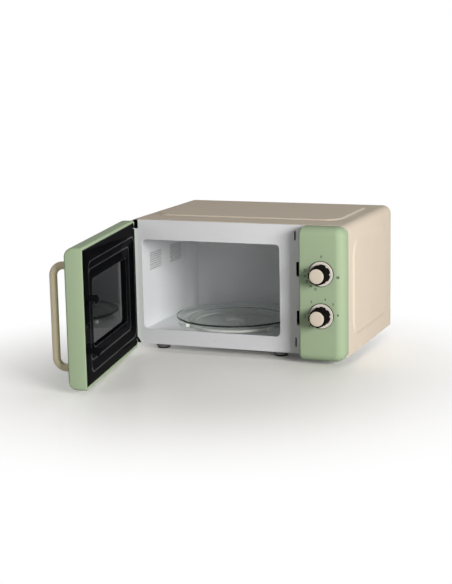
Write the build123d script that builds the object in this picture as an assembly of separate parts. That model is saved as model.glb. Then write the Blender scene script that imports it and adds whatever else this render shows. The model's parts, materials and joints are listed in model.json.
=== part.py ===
from build123d import *
import math
import os

# A free-standing microwave oven, stored with its door open. Millimetres: X to the right,
# Y from front to back, Z up, with the origin on the table under the middle of the case.

# Case
case_width = 440.0
case_depth = 300.0
case_height = 244.0
foot_height = 14.0
sheet = 0.8
base_sheet = 1.0
seam = 0.3
wrapper_bend = 16.0
wrapper_flange = 14.0
base_flange = 12.0
base_slots = 6
base_slot_length = 40.0
base_slot_width = 5.0
base_slot_pitch = 14.0
rear_slot_length = 75.0
rear_slot_width = 4.0
rear_slot_pitch = 9.0
fan_slots = 9
cavity_slots = 7
cord_inset = 20.0
cord_height = 40.0
cord_hole_radius = 4.0
inlet_radius = 8.0
inlet_flange_radius = 11.0
inlet_flange = 1.2
inlet_nut_radius = 10.0
inlet_nut = 4.0
inlet_reach = 3.0
rail_width = 14.0

# Raised panels pressed into the wrapper
press_rise = 2.5
press_slope = 8.0
press_corner = 30.0
top_press_side = 35.0
top_press_front = 56.0
top_press_rear = 36.0
side_press_front = 28.0
side_press_rear = 34.0
side_press_bottom = 32.0
side_press_top = 30.0

# Door and control panel mouldings
front_thickness = 33.5
front_overhang = 6.0
front_top_drop = 1.0
front_corner = 18.0
front_edge = 16.0
moulding_wall = 2.5
panel_width = 85.0
door_gap = 1.5

# Oven mouth and cavity
mouth_left = 26.0
mouth_right = 48.5
mouth_bottom = 29.3
mouth_top = 39.3
mouth_corner = 9.0
mouth_lip = 5.0
cavity_overhang = 11.5
cavity_rise = 22.0
cavity_headroom = 20.0
cavity_rear_gap = 15.0
taper_depth = 40.0
taper_width = 10.0

# Perforated vents in the cavity walls
vent_width = 60.0
vent_height = 38.0
vent_centre_height = 150.5
vent_front_setback = 90.0
vent_spacing = 101.0
vent_hole_radius = 1.8
vent_pitch = 5.2
lamp_vent_size = 25.3

# Hinges
hinge_inset = 7.0
hinge_forward = 9.6
hinge_tab = 2.5
hinge_tab_radius = 6.0
hinge_end_height = 14.0
hinge_leg_length = 36.0
hinge_leg_half = 4.6
hinge_pin_radius = 2.5
hinge_pin_length = 12.5
hinge_bush_length = 16.0
hinge_bush_half = 4.2
open_angle = 80.0
running_gap = 0.06
clear_gap = 0.3
swing_gap = 1.2

# Door window and inner cover
cover_wall = 2.5
dish_depth = 6.0
dish_side = 12.0
dish_end = 8.0
dish_slope = 17.0
dish_corner = 20.0
well_depth = 8.0
well_inset = 20.0
well_corner = 10.0
window_lip = 5.0
inner_window_thickness = 2.0
outer_glass_thickness = 4.0
outer_glass_lap = 8.0
screen_flange = 10.0

# Door latch
latch_inset = 9.5
latch_thickness = 4.0
latch_reach = 26.0
latch_arm = 10.0
latch_nose = 4.0
latch_travel = 5.0
latch_slot_width = 9.0
latch_slot_height = 28.0
latch_slot_rise = 4.0
latch_lower_height = 78.0
latch_pitch = 92.0
latch_bar_width = 9.0
latch_bar_thickness = 5.0
latch_spring_length = 22.0
latch_spring_radius = 2.4
spring_stop_depth = 8.0
spring_stop_height = 4.0
bracket_side_gap = 2.0
bracket_lap = 9.0
bracket_end = 26.0
bracket_wall = 3.0
bracket_depth = 48.0
ledge_depth = 20.0
ledge_thickness = 6.0
switch_setback = 26.0
switch_length = 20.0
switch_height = 28.0
switch_thickness = 10.3
clip_slot_width = 3.0
clip_slot_height = 17.0
clip_slot_inset = 17.5
clip_slot_end = 13.0

# Handle
handle_inset = 33.5
handle_radius = 7.0
handle_reach = 37.0
handle_bend = 18.0
handle_low_gap = 26.0
handle_high_gap = 28.5
handle_screw_depth = 8.0

# Knobs
knob_centre = 43.5
knob_lower_height = 87.5
knob_pitch = 78.1
dial_radius = 23.7
dial_thickness = 3.0
knob_standoff = 0.5
grip_base_radius = 18.2
grip_face_radius = 16.6
grip_length = 26.0
grip_flutes = 7
grip_flute_radius = 3.2
cap_radius = 13.6
cap_thickness = 2.5
cap_sink = 1.5
shaft_radius = 3.0
shaft_hole_gap = 1.0
timer_half = 25.0
timer_depth = 42.0
selector_half = 22.0
selector_depth = 34.0
terminal_length = 6.0
terminal_thickness = 0.8

# Turntable
tray_wall_gap = 19.6
tray_rim_height = 12.0
tray_thickness = 4.0
tray_flare = 17.5
roller_radius = 5.7
roller_width = 8.0
roller_inset = 21.5
track_recess = 7.0
track_slope = 6.0
ring_width = 6.0
ring_height = 4.0
axle_radius = 1.5
axle_head = 2.2
axle_head_length = 1.0
coupler_arm = 22.0
coupler_arm_width = 8.0
coupler_height = 4.2
coupler_stem_radius = 3.5
arm_count = 3
tray_lug = 4.0
turntable_motor_radius = 25.0
motor_floor_gap = 1.2
motor_bearing = 3.0

# Feet
foot_radius = 18.0
foot_tip_radius = 12.0
foot_edge_side = 52.0
foot_edge_front = 34.0
foot_edge_rear = 36.0
foot_panel_side = 40.0
foot_mouth_side = 10.0

# High-voltage side
transformer_width = 92.0
transformer_length = 84.0
transformer_height = 78.0
coil_overhang = 10.0
waveguide_depth = 34.0
waveguide_length = 110.0
waveguide_height = 84.0
waveguide_base = 126.0
waveguide_cover_lap = 6.0
antenna_radius = 9.0
antenna_hole_radius = 12.0
lamp_setback = 20.0
lamp_top_gap = 3.0
lamp_cup_half = 15.0
lamp_cup_depth = 46.0
lamp_cup_wall = 2.0
lamp_socket_length = 14.0
lamp_socket_radius = 8.0
bulb_radius = 10.0
bulb_length = 16.0
cutout_inset = 22.0
cutout_radius = 8.0
cutout_height = 7.0
cutout_tab_length = 24.0
cutout_tab_width = 8.0
cutout_tab = 1.5
board_width = 60.0
board_length = 42.0
board_setback = 12.0
board_rise = 6.0
board_thickness = 1.6
board_post_inset = 4.0
board_post_radius = 2.5
filter_coil_radius = 10.0
filter_coil_height = 16.4
filter_block_width = 16.0
filter_block_length = 26.0
filter_block_height = 12.4
filter_edge = 8.0
magnetron_width = 64.0
magnetron_length = 84.0
magnetron_height = 70.0
magnetron_core_radius = 18.0
yoke_wall = 3.0
fin_count = 6
fin_thickness = 1.2
fan_height = 146.0
fan_half = 56.0
fan_radius = 50.0
fan_hub_radius = 12.0
fan_shroud_depth = 31.0
fan_blades = 6
fan_blade_width = 20.0
fan_blade_pitch = 32.0
fan_blade_thickness = 1.6
fan_blade_root = 3.0
fan_tip_gap = 3.0
fan_front_gap = 6.0
fan_rear_gap = 8.0
fan_motor_width = 60.0
fan_motor_height = 50.0
fan_motor_depth = 24.0
fan_motor_gap = 8.0
fan_motor_back = 6.0
fan_arm = 8.0
fan_arm_thickness = 3.0
capacitor_length = 88.0
capacitor_height = 50.0
capacitor_depth = 32.0
strap_place = 20.0
strap_width = 12.0
strap_lap = 8.0
strap_thickness = 2.0
blade_length = 8.0
blade_width = 6.0
blade_thickness = 0.8
blade_spacing = 16.0
diode_gap = 10.0
diode_length = 22.0
diode_width = 7.0
diode_tab_length = 16.0
diode_tab_width = 5.0
screw_radius = 1.5
screw_head_radius = 3.2
screw_head_height = 0.8

# Places worked out from the sizes above
x_left, x_right = -case_width / 2, case_width / 2
y_front, y_rear = -case_depth / 2, case_depth / 2
z_base, z_top = foot_height, foot_height + case_height
y_plate_back = y_front + sheet
y_rear_panel = y_rear - 2 * sheet
z_pan = z_base + base_sheet
panel_left = x_right - panel_width
y_face = y_front - front_thickness
z_front_low = z_base - front_overhang
z_front_high = z_top - front_top_drop
mouth_x0 = x_left + mouth_left
mouth_x1 = panel_left - mouth_right
mouth_z0 = z_base + mouth_bottom
mouth_z1 = z_top - mouth_top
cavity_x0 = mouth_x0 - cavity_overhang
cavity_x1 = mouth_x1 + cavity_overhang
cavity_y1 = y_rear - cavity_rear_gap
cavity_z0 = z_base + cavity_rise
cavity_z1 = z_top - cavity_headroom
bay_left = cavity_x1 + sheet
bay_right = x_right - sheet - seam
door_right = panel_left - door_gap
y_door_back = y_front - door_gap
hinge_x = x_left + hinge_inset
hinge_y = y_front - hinge_forward
hinge_z_low = z_front_low + hinge_end_height
hinge_z_high = z_front_high - hinge_end_height
latch_x = door_right - latch_inset
latch_heights = (latch_lower_height, latch_lower_height + latch_pitch)
knob_x = panel_left + knob_centre
knob_heights = {
    "timer": z_front_low + knob_lower_height + knob_pitch,
    "power": z_front_low + knob_lower_height,
}
tray_x = (cavity_x0 + cavity_x1) / 2
tray_y = (y_plate_back + cavity_y1) / 2
tray_radius = min(cavity_x1 - cavity_x0, cavity_y1 - y_plate_back) / 2 - tray_wall_gap
track_z = cavity_z0 - track_recess
roller_z = track_z + clear_gap + roller_radius
tray_z = roller_z + roller_radius + clear_gap
roller_middle = tray_radius - roller_inset
fan_x = (bay_left + bay_right) / 2
fan_z = z_base + fan_height
fan_y = y_rear_panel - fan_shroud_depth


def block(x0, x1, y0, y1, z0, z1):
    """A box between two corners."""
    middle = Pos((x0 + x1) / 2, (y0 + y1) / 2, (z0 + z1) / 2)
    return middle * Box(x1 - x0, y1 - y0, z1 - z0)


def rod_x(y, z, x0, x1, radius):
    return Pos((x0 + x1) / 2, y, z) * Rot(0, 90, 0) * Cylinder(radius, x1 - x0)


def rod_y(x, z, y0, y1, radius):
    return Pos(x, (y0 + y1) / 2, z) * Rot(90, 0, 0) * Cylinder(radius, y1 - y0)


def rod_z(x, y, z0, z1, radius):
    return Pos(x, y, (z0 + z1) / 2) * Cylinder(radius, z1 - z0)


def area(a0, a1, b0, b1, corner=0.0):
    """A rectangle between two corners, rounded when a corner radius is given."""
    shape = RectangleRounded(a1 - a0, b1 - b0, corner) if corner else Rectangle(a1 - a0, b1 - b0)
    return Pos((a0 + a1) / 2, (b0 + b1) / 2) * shape


def arch(x0, x1, z0, z1, corner):
    """A rectangle in X and Z with its two upper corners rounded."""
    shape = area(x0, x1, z0, z1)
    return fillet(shape.vertices().sort_by(Axis.Y)[-2:], corner)


def plate_x(outline, x0, x1):
    """An outline drawn in Y and Z, as thick as x0 to x1."""
    plane = Plane(origin=(x0, 0, 0), x_dir=(0, 1, 0), z_dir=(1, 0, 0))
    return extrude(plane * outline, amount=x1 - x0)


def plate_y(outline, y0, y1):
    """An outline drawn in X and Z, as thick as y0 to y1."""
    plane = Plane(origin=(0, y1, 0), x_dir=(1, 0, 0), z_dir=(0, -1, 0))
    return extrude(plane * outline, amount=y1 - y0)


def plate_z(outline, z0, z1):
    """An outline drawn in X and Y, as thick as z0 to z1."""
    return extrude(Pos(0, 0, z0) * outline, amount=z1 - z0)


def turned(points):
    """A solid turned about Z from (radius, height) points."""
    return revolve(make_face(Plane.XZ * Polyline(*points, close=True)), axis=Axis.Z)


def tapered(plane, width, height, corner, slope, rise):
    """A rounded block on a plane whose sides slope inwards as it rises."""
    foot = plane * RectangleRounded(width, height, corner)
    head = plane.offset(rise) * RectangleRounded(width - 2 * slope, height - 2 * slope, corner - slope)
    return loft([foot, head], ruled=True)


def joined(pieces):
    """Separate solids kept in one node."""
    return Compound(list(pieces))


def open_door(shape):
    """Swing a piece of the closed door to where the door stands open."""
    return shape.rotate(Axis((hinge_x, hinge_y, 0), (0, 0, 1)), -open_angle)


# Case sheets

def press_places():
    """The plane, width and height of each raised panel of the wrapper."""
    top_y0, top_y1 = y_front + top_press_front, y_rear - top_press_rear
    side_y0, side_y1 = y_front + side_press_front, y_rear - side_press_rear
    side_z0, side_z1 = z_base + side_press_bottom, z_top - side_press_top
    side_y, side_z = (side_y0 + side_y1) / 2, (side_z0 + side_z1) / 2
    top = Plane(origin=(0, (top_y0 + top_y1) / 2, z_top), x_dir=(1, 0, 0), z_dir=(0, 0, 1))
    right = Plane(origin=(x_right, side_y, side_z), x_dir=(0, 1, 0), z_dir=(1, 0, 0))
    left = Plane(origin=(x_left, side_y, side_z), x_dir=(0, -1, 0), z_dir=(-1, 0, 0))
    return (
        (top, case_width - 2 * top_press_side, top_y1 - top_y0),
        (right, side_y1 - side_y0, side_z1 - side_z0),
        (left, side_y1 - side_y0, side_z1 - side_z0),
    )


def rear_screw_places():
    inset = sheet + wrapper_flange / 2
    low, high = z_base + wrapper_bend, z_top - wrapper_bend - wrapper_flange
    return [(x, z) for x in (x_left + inset, x_right - inset) for z in (low, high)]


def outer_wrapper():
    skin = plate_y(arch(x_left, x_right, z_base, z_top, wrapper_bend), y_front, y_rear)
    inner = arch(x_left + sheet, x_right - sheet, z_base - sheet, z_top - sheet, wrapper_bend - sheet)
    hollow = plate_y(inner, y_front - sheet, y_rear - sheet)
    for plane, width, height in press_places():
        skin += tapered(plane, width, height, press_corner, press_slope, press_rise)
        hollow += tapered(plane.offset(-sheet), width, height, press_corner, press_slope, press_rise)
    flange = sheet + wrapper_flange
    rear_gap = arch(x_left + flange, x_right - flange, z_base - sheet, z_top - flange, wrapper_bend - flange)
    skin = skin - hollow - plate_y(rear_gap, y_rear - 2 * sheet, y_rear + sheet)
    return skin - [rod_y(x, z, y_rear - sheet, y_rear, screw_radius) for x, z in rear_screw_places()]


def slots(a, b, count, pitch, length, width):
    """A ladder of slots centred on a point of an outline."""
    first = b - (count - 1) / 2 * pitch
    return [Pos(a, first + step * pitch) * SlotOverall(length, width) for step in range(count)]


def sheet_outline():
    """The outline that fits inside the wrapper, front and rear."""
    edge = sheet + seam
    return arch(x_left + edge, x_right - edge, z_base, z_top - edge, wrapper_bend - edge)


def hinge_screw_places():
    x = hinge_x
    low = hinge_z_low + hinge_tab + hinge_leg_length / 2
    high = hinge_z_high - hinge_tab - hinge_leg_length / 2
    spread = hinge_leg_length / 4
    return [(x, z + side * spread) for z in (low, high) for side in (-1, 1)]


def latch_slot_ends(height):
    """Bottom and top of the slot in the front plate for the hook at a height."""
    middle = height + latch_slot_rise
    return middle - latch_slot_height / 2, middle + latch_slot_height / 2


def front_plate():
    outline = sheet_outline()
    outline -= area(mouth_x0, mouth_x1, mouth_z0, mouth_z1, mouth_corner)
    notch_x = hinge_x + 2 * hinge_tab_radius
    outline -= area(x_left, notch_x, hinge_z_high - hinge_tab - swing_gap, z_top)
    low_top = hinge_z_low + hinge_tab + swing_gap
    low_end = z_base - sheet
    low_notch = [(x_left, low_end), (notch_x + swing_gap, low_end), (notch_x - hinge_tab_radius, low_top),
                 (x_left, low_top)]
    outline -= make_face(Polyline(*low_notch, close=True))
    for height in latch_heights:
        low, high = latch_slot_ends(height)
        half = latch_slot_width / 2
        outline -= area(latch_x - half, latch_x + half, low, high, half / 2)
    clip_x = panel_left - clip_slot_inset
    half = clip_slot_width / 2
    for low in (z_base + clip_slot_end, z_top - clip_slot_end - clip_slot_height):
        outline -= area(clip_x - half, clip_x + half, low, low + clip_slot_height)
    timer_z, power_z = knob_heights["timer"], knob_heights["power"]
    reach = timer_half + swing_gap
    outline -= area(knob_x - reach, knob_x + reach, power_z - reach, timer_z + reach, moulding_wall)
    outline -= [Pos(x, z) * Circle(screw_radius) for x, z in hinge_screw_places()]
    plate = plate_y(outline, y_front, y_plate_back)
    lip = area(mouth_x0 - sheet, mouth_x1 + sheet, mouth_z0 - sheet, mouth_z1 + sheet, mouth_corner + sheet)
    lip -= area(mouth_x0, mouth_x1, mouth_z0, mouth_z1, mouth_corner)
    return plate + plate_y(lip, y_plate_back, y_front + mouth_lip)


def base_plate():
    edge = sheet + seam
    x0, x1 = x_left + edge, x_right - edge
    outline = area(x0, x1, y_plate_back, y_rear_panel)
    outline -= slots(fan_x, tray_y, base_slots, base_slot_pitch, base_slot_length, base_slot_width)
    pan = plate_z(outline, z_base, z_pan)
    pan += block(x0, x0 + base_sheet, y_plate_back, y_rear_panel, z_pan, z_base + base_flange)
    return pan + block(x1 - base_sheet, x1, y_plate_back, y_rear_panel, z_pan, z_base + base_flange)


def cord_place():
    """Where the mains cord enters the rear panel."""
    return bay_right - wrapper_flange - cord_inset, z_base + cord_height


def rear_panel():
    outline = sheet_outline()
    for x, count in ((fan_x, fan_slots), (tray_x, cavity_slots)):
        outline -= slots(x, fan_z, count, rear_slot_pitch, rear_slot_length, rear_slot_width)
    outline -= Pos(*cord_place()) * Circle(inlet_radius)
    outline -= [Pos(x, z) * Circle(screw_radius) for x, z in rear_screw_places()]
    return plate_y(outline, y_rear_panel, y_rear - sheet)


def cord_inlet():
    x, z = cord_place()
    inside, outside = y_rear_panel - inlet_nut, y_rear + inlet_reach
    bush = rod_y(x, z, inside, outside, inlet_radius)
    bush += rod_y(x, z, y_rear - sheet, y_rear + inlet_flange, inlet_flange_radius)
    bush += rod_y(x, z, inside, y_rear_panel, inlet_nut_radius)
    return bush - rod_y(x, z, inside, outside, cord_hole_radius)


def foot_places():
    left = x_left + foot_edge_side
    right = x_right - foot_panel_side
    middle = mouth_x1 - foot_mouth_side
    front, rear = y_front + foot_edge_front, y_rear - foot_edge_rear
    return [(left, front), (middle, front), (right, front), (left, rear), (right, rear)]


def feet():
    return joined(
        Pos(x, y, foot_height / 2) * Cone(foot_tip_radius, foot_radius, foot_height) for x, y in foot_places()
    )


def screw(x, z, y_seat, length, away):
    """A pan-head screw along Y, its head on the seat and its shank the other way."""
    head = rod_y(x, z, *sorted((y_seat, y_seat + away * screw_head_height)), screw_head_radius)
    return head + rod_y(x, z, *sorted((y_seat, y_seat - away * length)), screw_radius)


def case_screws():
    front = [screw(x, z, y_front, sheet + hinge_tab, -1) for x, z in hinge_screw_places()]
    rear = [screw(x, z, y_rear, 2 * sheet, 1) for x, z in rear_screw_places()]
    return joined(front + rear)


# Cavity

def vent_holes(y_middle, z_middle, width, height):
    """Staggered round holes filling a rectangle in Y and Z."""
    rows = int(height // (vent_pitch * math.sqrt(0.75)))
    columns = int(width // vent_pitch)
    holes = []
    for row in range(rows):
        z = z_middle + (row - (rows - 1) / 2) * vent_pitch * math.sqrt(0.75)
        shift = (row % 2 - 0.5) * vent_pitch / 2
        for column in range(columns):
            y = y_middle + (column - (columns - 1) / 2) * vent_pitch + shift
            holes.append(Pos(y, z) * Circle(vent_hole_radius))
    return holes


def side_wall(inner_x, outward, outline):
    """A cavity side: a flat sheet with its rear end bent in towards the rear wall."""
    outer_x = inner_x + outward * sheet
    wall = plate_x(outline, *sorted((inner_x, outer_x)))
    y_bend = cavity_y1 - taper_depth
    shift = -outward * taper_width
    corner = [(inner_x, y_bend), (outer_x, y_bend), (outer_x + shift, cavity_y1),
              (inner_x + shift, cavity_y1)]
    return wall + plate_z(make_face(Polyline(*corner, close=True)), cavity_z0, cavity_z1)


def wall_outline():
    return area(y_plate_back, cavity_y1 - taper_depth, cavity_z0, cavity_z1)


def cavity_left_wall():
    first = y_front + vent_front_setback
    z = z_base + vent_centre_height
    holes = vent_holes(first, z, vent_width, vent_height)
    holes += vent_holes(first + vent_spacing, z, vent_width, vent_height)
    return side_wall(cavity_x0, -1, wall_outline() - holes)


def waveguide_centre():
    return tray_y, z_base + waveguide_base + waveguide_height / 2


def lamp_centre():
    y = tray_y + waveguide_length / 2 + lamp_setback
    return y, cavity_z1 - lamp_top_gap - lamp_cup_half


def cavity_right_wall():
    y, z = waveguide_centre()
    outline = wall_outline()
    outline -= area(y - waveguide_length / 4, y + waveguide_length / 4, z - waveguide_height / 4,
                    z + waveguide_height / 4)
    lamp_y, lamp_z = lamp_centre()
    outline = outline - vent_holes(lamp_y, lamp_z, lamp_vent_size, lamp_vent_size)
    return side_wall(cavity_x1, 1, outline)


def cavity_footprint():
    """Plan of the cavity over its walls, with the two slanted rear corners."""
    x0, x1 = cavity_x0 - sheet, cavity_x1 + sheet
    y_bend = cavity_y1 - taper_depth
    y_end = cavity_y1 + sheet
    left, right = x0 + taper_width, x1 - taper_width
    points = [(x0, y_plate_back), (x1, y_plate_back), (x1, y_bend), (right, cavity_y1), (right, y_end),
              (left, y_end), (left, cavity_y1), (x0, y_bend)]
    return make_face(Polyline(*points, close=True))


def cavity_ceiling():
    return plate_z(cavity_footprint(), cavity_z1, cavity_z1 + sheet)


def cavity_floor():
    outer = tray_radius - track_slope / 2
    inner = outer - track_slope
    flat = plate_z(cavity_footprint() - Pos(tray_x, tray_y) * Circle(outer), cavity_z0 - sheet, cavity_z0)
    hole = coupler_stem_radius + motor_floor_gap
    low, edge = track_z - sheet, outer + sheet
    dish = turned([(hole, track_z), (inner, track_z), (outer, cavity_z0), (edge, cavity_z0),
                   (edge, cavity_z0 - sheet), (inner + sheet, low), (hole, low)])
    return flat + Pos(tray_x, tray_y, 0) * dish


def cavity_rear_wall():
    x0, x1 = cavity_x0 + taper_width - sheet, cavity_x1 - taper_width + sheet
    return block(x0, x1, cavity_y1, cavity_y1 + sheet, cavity_z0, cavity_z1)


def cavity_rails():
    """Two channel rails that carry the cavity floor on the base plate."""
    reach = tray_radius + rail_width
    rails = []
    for x in (tray_x - reach, tray_x + reach):
        x0, x1 = x - rail_width / 2, x + rail_width / 2
        y0, y1 = y_plate_back + rail_width, cavity_y1 - taper_depth - rail_width
        rail = block(x0, x1, y0, y1, z_pan, cavity_z0 - sheet)
        hollow = block(x0 + base_sheet, x1 - base_sheet, y0, y1, z_pan, cavity_z0 - sheet - base_sheet)
        rails.append(rail - hollow)
    return joined(rails)


def waveguide_cover():
    y, z = waveguide_centre()
    lap = waveguide_cover_lap
    half_y, half_z = waveguide_length / 4 + lap, waveguide_height / 4 + lap
    outline = area(y - half_y, y + half_y, z - half_z, z + half_z, lap / 2)
    return plate_x(outline, cavity_x1 - sheet / 2, cavity_x1)


# High-voltage side

def waveguide():
    y, z = waveguide_centre()
    half_y, half_z = waveguide_length / 2, waveguide_height / 2
    x1 = bay_left + waveguide_depth
    duct = block(bay_left, x1, y - half_y, y + half_y, z - half_z, z + half_z)
    room_y, room_z = half_y - sheet, half_z - sheet
    duct -= block(bay_left, x1 - sheet, y - room_y, y + room_y, z - room_z, z + room_z)
    return duct - rod_x(y, z, x1 - sheet, x1, antenna_hole_radius)


def magnetron():
    y, z = waveguide_centre()
    x0 = bay_left + waveguide_depth
    x1 = x0 + magnetron_width
    half_y, half_z = magnetron_length / 2, magnetron_height / 2
    yoke = block(x0, x1, y - half_y, y + half_y, z - half_z, z + half_z)
    room_z = half_z - yoke_wall
    yoke -= block(x0 + yoke_wall, x1 - yoke_wall, y - half_y, y + half_y, z - room_z, z + room_z)
    body = yoke + rod_x(y, z, x0 + yoke_wall, x1 - yoke_wall, magnetron_core_radius)
    fin_pitch = (magnetron_width - 2 * yoke_wall) / (fin_count + 1)
    for step in range(fin_count):
        x = x0 + yoke_wall + (step + 1) * fin_pitch
        body += block(x, x + fin_thickness, y - half_y, y + half_y, z - room_z, z + room_z)
    return body + rod_x(y, z, x0 - waveguide_depth / 2, x0, antenna_radius)


def transformer_places():
    x0 = bay_left + (bay_right - bay_left - transformer_width) / 2
    y0 = tray_y - transformer_length / 2
    return x0, x0 + transformer_width, y0, y0 + transformer_length


def transformer_core():
    x0, x1, y0, y1 = transformer_places()
    leg = transformer_width / 6
    window = transformer_height / 4
    z0, z1 = z_pan, z_pan + transformer_height
    y_a, y_b = y0 + coil_overhang, y1 - coil_overhang
    core = block(x0, x1, y_a, y_b, z0, z1)
    for a, b in ((x0 + leg, x0 + 2 * leg), (x1 - 2 * leg, x1 - leg)):
        core -= block(a, b, y_a, y_b, z0 + window, z1 - window)
    return core


def transformer_windings():
    x0, x1, y0, y1 = transformer_places()
    leg = transformer_width / 6
    window = transformer_height / 4
    z0, z1 = z_pan + window, z_pan + transformer_height - window
    middle = (z0 + z1) / 2
    coils = []
    for a, b in ((z0, middle - seam), (middle + seam, z1)):
        coil = block(x0 + leg, x1 - leg, y0, y1, a, b)
        coils.append(coil - block(x0 + 2 * leg, x1 - 2 * leg, y0 + coil_overhang, y1 - coil_overhang, a, b))
    return joined(coils)


def capacitor_places():
    x0 = bay_left + (bay_right - bay_left - capacitor_length) / 2
    y = tray_y + transformer_length / 2 + capacitor_depth
    return x0, x0 + capacitor_length, y


def capacitor():
    x0, x1, y = capacitor_places()
    round_end = capacitor_depth / 2
    outline = area(y - round_end, y + round_end, z_pan, z_pan + capacitor_height, round_end - seam)
    can = plate_x(outline, x0, x1)
    reach = round_end + strap_lap
    strap_x = x0 + strap_place
    strap = block(strap_x, strap_x + strap_width, y - reach, y + reach, z_pan, z_pan + strap_thickness)
    middle = z_pan + capacitor_height / 2
    half_y, half_z = blade_width / 2, blade_thickness / 2
    blades = []
    for z in (middle - blade_spacing / 2, middle + blade_spacing / 2):
        blades.append(block(x1, x1 + blade_length, y - half_y, y + half_y, z - half_z, z + half_z))
    return can + strap + blades


def high_voltage_diode():
    x0, x1, y = capacitor_places()
    y0 = y + capacitor_depth / 2 + diode_gap
    x_tab = x0 + diode_length
    body = block(x0, x_tab, y0, y0 + diode_width, z_pan, z_pan + diode_width)
    y_tab = y0 + (diode_width - diode_tab_width) / 2
    x_end = x_tab + diode_tab_length
    return body + block(x_tab, x_end, y_tab, y_tab + diode_tab_width, z_pan, z_pan + base_sheet)


def fan_shroud():
    half = fan_half
    frame_box = block(fan_x - half, fan_x + half, fan_y, y_rear_panel, fan_z - half, fan_z + half)
    return frame_box - rod_y(fan_x, fan_z, fan_y, y_rear_panel, fan_radius + fan_tip_gap)


def fan_motor():
    y1 = fan_y - fan_motor_gap
    y0 = y1 - fan_motor_depth
    half_x, half_z = fan_motor_width / 2, fan_motor_height / 2
    motor = block(fan_x - half_x, fan_x + half_x, y0, y1, fan_z - half_z, fan_z + half_z)
    half = fan_arm / 2
    y_arm = fan_y - fan_arm_thickness
    motor += block(fan_x - fan_half, fan_x + fan_half, y_arm, fan_y, fan_z - half, fan_z + half)
    for x in (fan_x - half_x + fan_arm, fan_x + half_x - fan_arm):
        motor += block(x - half, x + half, y1, y_arm, fan_z - half, fan_z + half)
    return motor - rod_y(fan_x, fan_z, y0 + fan_motor_back, fan_y, shaft_radius + running_gap)


def fan_blade():
    y0, y1 = fan_y + fan_front_gap, y_rear_panel - fan_rear_gap
    hub = rod_y(fan_x, fan_z, y0, y1, fan_hub_radius)
    shaft_end = fan_y - fan_motor_gap - fan_motor_depth + fan_motor_back + clear_gap
    hub += rod_y(fan_x, fan_z, shaft_end, y0, shaft_radius)
    span = fan_radius - fan_hub_radius + fan_blade_root
    middle = fan_radius - span / 2
    for step in range(fan_blades):
        vane = Rot(fan_blade_pitch, 0, 0) * Box(span, fan_blade_thickness, fan_blade_width)
        vane = Pos(middle, 0, 0) * vane
        vane = Rot(0, step * 360 / fan_blades, 0) * Rot(90, 0, 0) * vane
        hub += Pos(fan_x, (y0 + y1) / 2, fan_z) * vane
    return hub


def lamp_holder():
    y, z = lamp_centre()
    outer, inner = lamp_cup_half, lamp_cup_half - lamp_cup_wall
    x_end = bay_left + lamp_cup_depth
    x_floor = x_end - lamp_cup_wall
    cup = block(bay_left, x_end, y - outer, y + outer, z - outer, z + outer)
    cup -= block(bay_left, x_floor, y - inner, y + inner, z - inner, z + inner)
    return cup + rod_x(y, z, x_floor - lamp_socket_length, x_floor, lamp_socket_radius)


def lamp_bulb():
    y, z = lamp_centre()
    x1 = bay_left + lamp_cup_depth - lamp_cup_wall - lamp_socket_length
    x0 = x1 - bulb_length
    return rod_x(y, z, x0, x1, bulb_radius) + Pos(x0, y, z) * Sphere(bulb_radius)


def thermal_cutout():
    x, z = cavity_x1 - cutout_inset, cavity_z1 + sheet
    disc = rod_z(x, tray_y, z, z + cutout_height, cutout_radius)
    half_x, half_y = cutout_tab_length / 2, cutout_tab_width / 2
    return disc + block(x - half_x, x + half_x, tray_y - half_y, tray_y + half_y, z, z + cutout_tab)


def filter_board():
    x0, x1 = knob_x - board_width / 2, knob_x + board_width / 2
    y0 = y_plate_back + board_setback
    y1 = y0 + board_length
    z0 = z_pan + board_rise
    z1 = z0 + board_thickness
    board = block(x0, x1, y0, y1, z0, z1)
    for x in (x0 + board_post_inset, x1 - board_post_inset):
        for y in (y0 + board_post_inset, y1 - board_post_inset):
            board += rod_z(x, y, z_pan, z0, board_post_radius)
    coil_x, coil_y = x0 + filter_edge + filter_coil_radius, (y0 + y1) / 2
    board += rod_z(coil_x, coil_y, z1, z1 + filter_coil_height, filter_coil_radius)
    block_x, block_y = x1 - filter_edge - filter_block_width, y0 + filter_edge
    return board + block(block_x, block_x + filter_block_width, block_y, block_y + filter_block_length, z1,
                         z1 + filter_block_height)


# Latch inside the case

def latch_bracket():
    x0, x1 = bay_left + bracket_side_gap, latch_x + bracket_lap
    low, high = latch_heights[0] - bracket_end, latch_heights[1] + bracket_end
    face = y_plate_back + bracket_wall
    outline = area(x0, x1, low, high)
    half = latch_slot_width / 2 + swing_gap
    for height in latch_heights:
        bottom, top = latch_slot_ends(height)
        outline -= area(latch_x - half, latch_x + half, bottom - swing_gap, top + swing_gap)
    bracket = plate_y(outline, y_plate_back, face)
    bracket += block(x0, x0 + bracket_wall, face, y_plate_back + bracket_depth, low, high)
    for height in latch_heights:
        ledge = height - latch_arm / 2 - latch_nose - 3 * clear_gap
        ledge_end = y_plate_back + ledge_depth
        bracket += block(x0 + bracket_wall, x1, face, ledge_end, ledge - ledge_thickness, ledge)
    return bracket


def interlock_switches():
    x0 = bay_left + bracket_side_gap + bracket_wall
    y0 = y_plate_back + switch_setback
    half = switch_height / 2
    heights = (latch_heights[0], sum(latch_heights) / 2, latch_heights[1])
    x1, y1 = x0 + switch_thickness, y0 + switch_length
    return joined(block(x0, x1, y0, y1, z - half, z + half) for z in heights)


# Hinge brackets

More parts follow.
